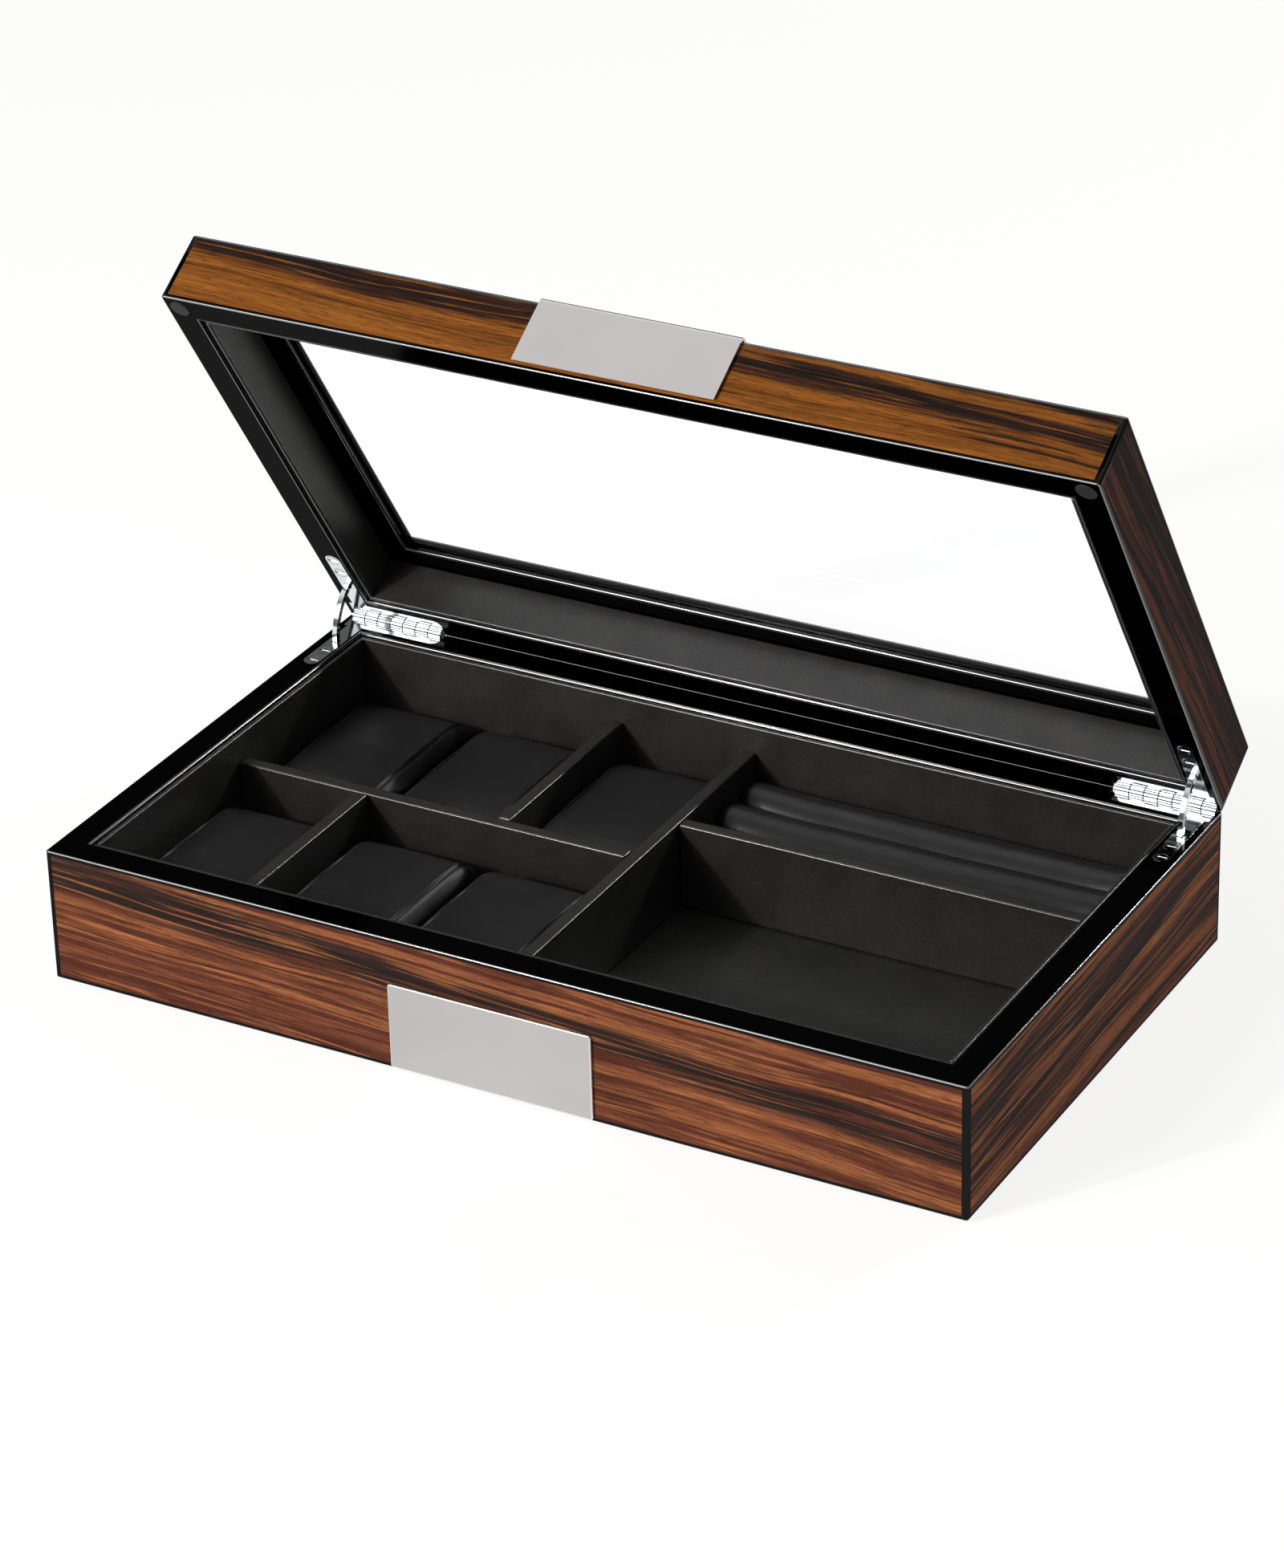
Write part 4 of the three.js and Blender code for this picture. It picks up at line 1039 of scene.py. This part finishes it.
# Hinges. Quadrant hinges of steel in bright chrome: leaves let into both rims, knuckles rolled
# round a pin, and a curved arm at each side that slides in both leaves and stops the lid.
chrome_ease = 0.1 * MM
knuckle_count = 7
knuckle_radius = 2.43 * MM
knuckle_facets = 40
knuckle_seam = 0.4 * MM
square_on = 0.9
chrome_tumble = 3 * MM
shade_mottle_size = 1.5 * MM


def bright_chrome():
    """Polished chrome plate on steel: a cold mirror, a little softened by its tumbling."""
    finish, tree, place = start_finish("bright_chrome", Metallic=1.0)
    tumbled = add(tree, "TexNoise", {"Vector": place, "Scale": 1 / chrome_tumble, "Detail": 3}).outputs[0]
    tone = add(tree, "Mix", {
        "Factor": tumbled, 6: paint("#D6D8DA"), 7: paint("#E6E7E8")}, data_type="RGBA").outputs[2]
    dull = add(tree, "MapRange", {
        "Value": tumbled, "From Min": 0.3, "From Max": 0.7, "To Min": 0.07, "To Max": 0.13}).outputs[0]
    return end_finish(finish, Base_Color=tone, Roughness=dull)


def steel_painted_seam_shade():
    """Steel on the knuckles' ends, the leaves' edges and the pin, painted near black as the shade in the
    seams between the knuckles and along the leaves.
    """
    finish, tree, place = start_finish("steel_painted_seam_shade", Roughness=0.6, IOR=1.5)
    shade_mottle = add(tree, "TexNoise", {"Vector": place, "Scale": 1 / shade_mottle_size, "Detail": 2}).outputs[0]
    tone = add(tree, "Mix", {
        "Factor": shade_mottle, 6: paint("#070707"), 7: paint("#181818")}, data_type="RGBA").outputs[2]
    return end_finish(finish, Base_Color=tone)


def mark_shaded_faces(metal, axes):
    """Gives the second finish, the painted seam shade, to the faces that look along an axis."""
    metal.normal_update()
    for face in metal.faces:
        face.material_index = int(any(abs(face.normal[axis]) > square_on for axis in axes))


def rolled_knuckles(pin, first):
    """The knuckles of one leaf, finely finished: the first or second, and then every other."""
    start, end = sorted((corner.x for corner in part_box(pin)), key=abs)
    pitch = (end - start) / knuckle_count
    knuckles = []
    for i in range(first, knuckle_count, 2):
        middle = Vector((start + pitch * (i + 0.5), hinge_line.y, hinge_line.z))
        knuckle = bmesh.new()
        bmesh.ops.create_cone(
            knuckle, cap_ends=True, segments=knuckle_facets, radius1=knuckle_radius,
            radius2=knuckle_radius, depth=abs(pitch) - knuckle_seam,
            matrix=Matrix.Translation(middle) @ Matrix.Rotation(math.pi / 2, 4, "Y"))
        mark_shaded_faces(knuckle, (0,))
        ease(knuckle, lambda p: True, chrome_ease, 2)
        knuckles.append(knuckle)
    return knuckles


# The dark steel paints the shade in the seams between the knuckles and on the leaves' edges.
seam_shade_finish = steel_painted_seam_shade()
chrome = (bright_chrome(), seam_shade_finish)
hands = ("right", "left")
for hand in hands:
    pin = f"{hand}_hinge_pin"
    # The pin shows only through the seams, so it is in the painted seam shade.
    place_piece(f"{pin}_turned", shut_copy(pin), seam_shade_finish, pin)
    arm = shut_copy(f"{hand}_hinge_arm")
    ease(arm, lambda p: True, chrome_ease, 2)
    place_piece(f"{hand}_hinge_arm_chromed", arm, chrome, f"{hand}_hinge_arm")
    for first, half in enumerate(("base", "lid")):
        leaf = shut_copy(f"{hand}_{half}_leaf")
        mark_shaded_faces(leaf, (0, 1))
        ease(leaf, lambda p: True, chrome_ease, 2)
        leaf = merge([leaf] + rolled_knuckles(pin, first))
        place_piece(f"{hand}_{half}_leaf_chromed", leaf, chrome, f"{hand}_{half}_leaf")

# Screws. Two small countersunk slotted screws hold each leaf. They are turned from steel and
# plated bright like the leaves.
for hand in hands:
    for half in ("base", "lid"):
        for number in (1, 2):
            node = f"{hand}_{half}_screw_{number}"
            screw = shut_copy(node)
            place_piece(f"{node}_turned", screw, chrome, node)

# Bumpers. Black moulded rubber buttons, pressed into the lid's front corners so that it shuts
# softly on the base.
rubber_grain = 0.5 * MM


def moulded_rubber():
    """Black rubber from a matt mould: soft sheen, no gloss."""
    finish, tree, place = start_finish("black_moulded_rubber", Roughness=0.7, IOR=1.5)
    bloom = add(tree, "TexNoise", {"Vector": place, "Scale": 1 / rubber_grain, "Detail": 3}).outputs[0]
    tone = add(tree, "Mix", {
        "Factor": bloom, 6: paint("#141414"), 7: paint("#202020")}, data_type="RGBA").outputs[2]
    bump = add(tree, "Bump", {"Height": bloom, "Strength": 0.2, "Distance": 0.03 * MM}).outputs[0]
    return end_finish(finish, Base_Color=tone, Normal=bump)


rubber = moulded_rubber()
for hand in hands:
    button = shut_copy(f"{hand}_bumper")
    ease(button, lambda p: p.z < lid_rim, chrome_ease, 2)
    place_piece(f"{hand}_bumper_moulded", button, rubber, f"{hand}_bumper")
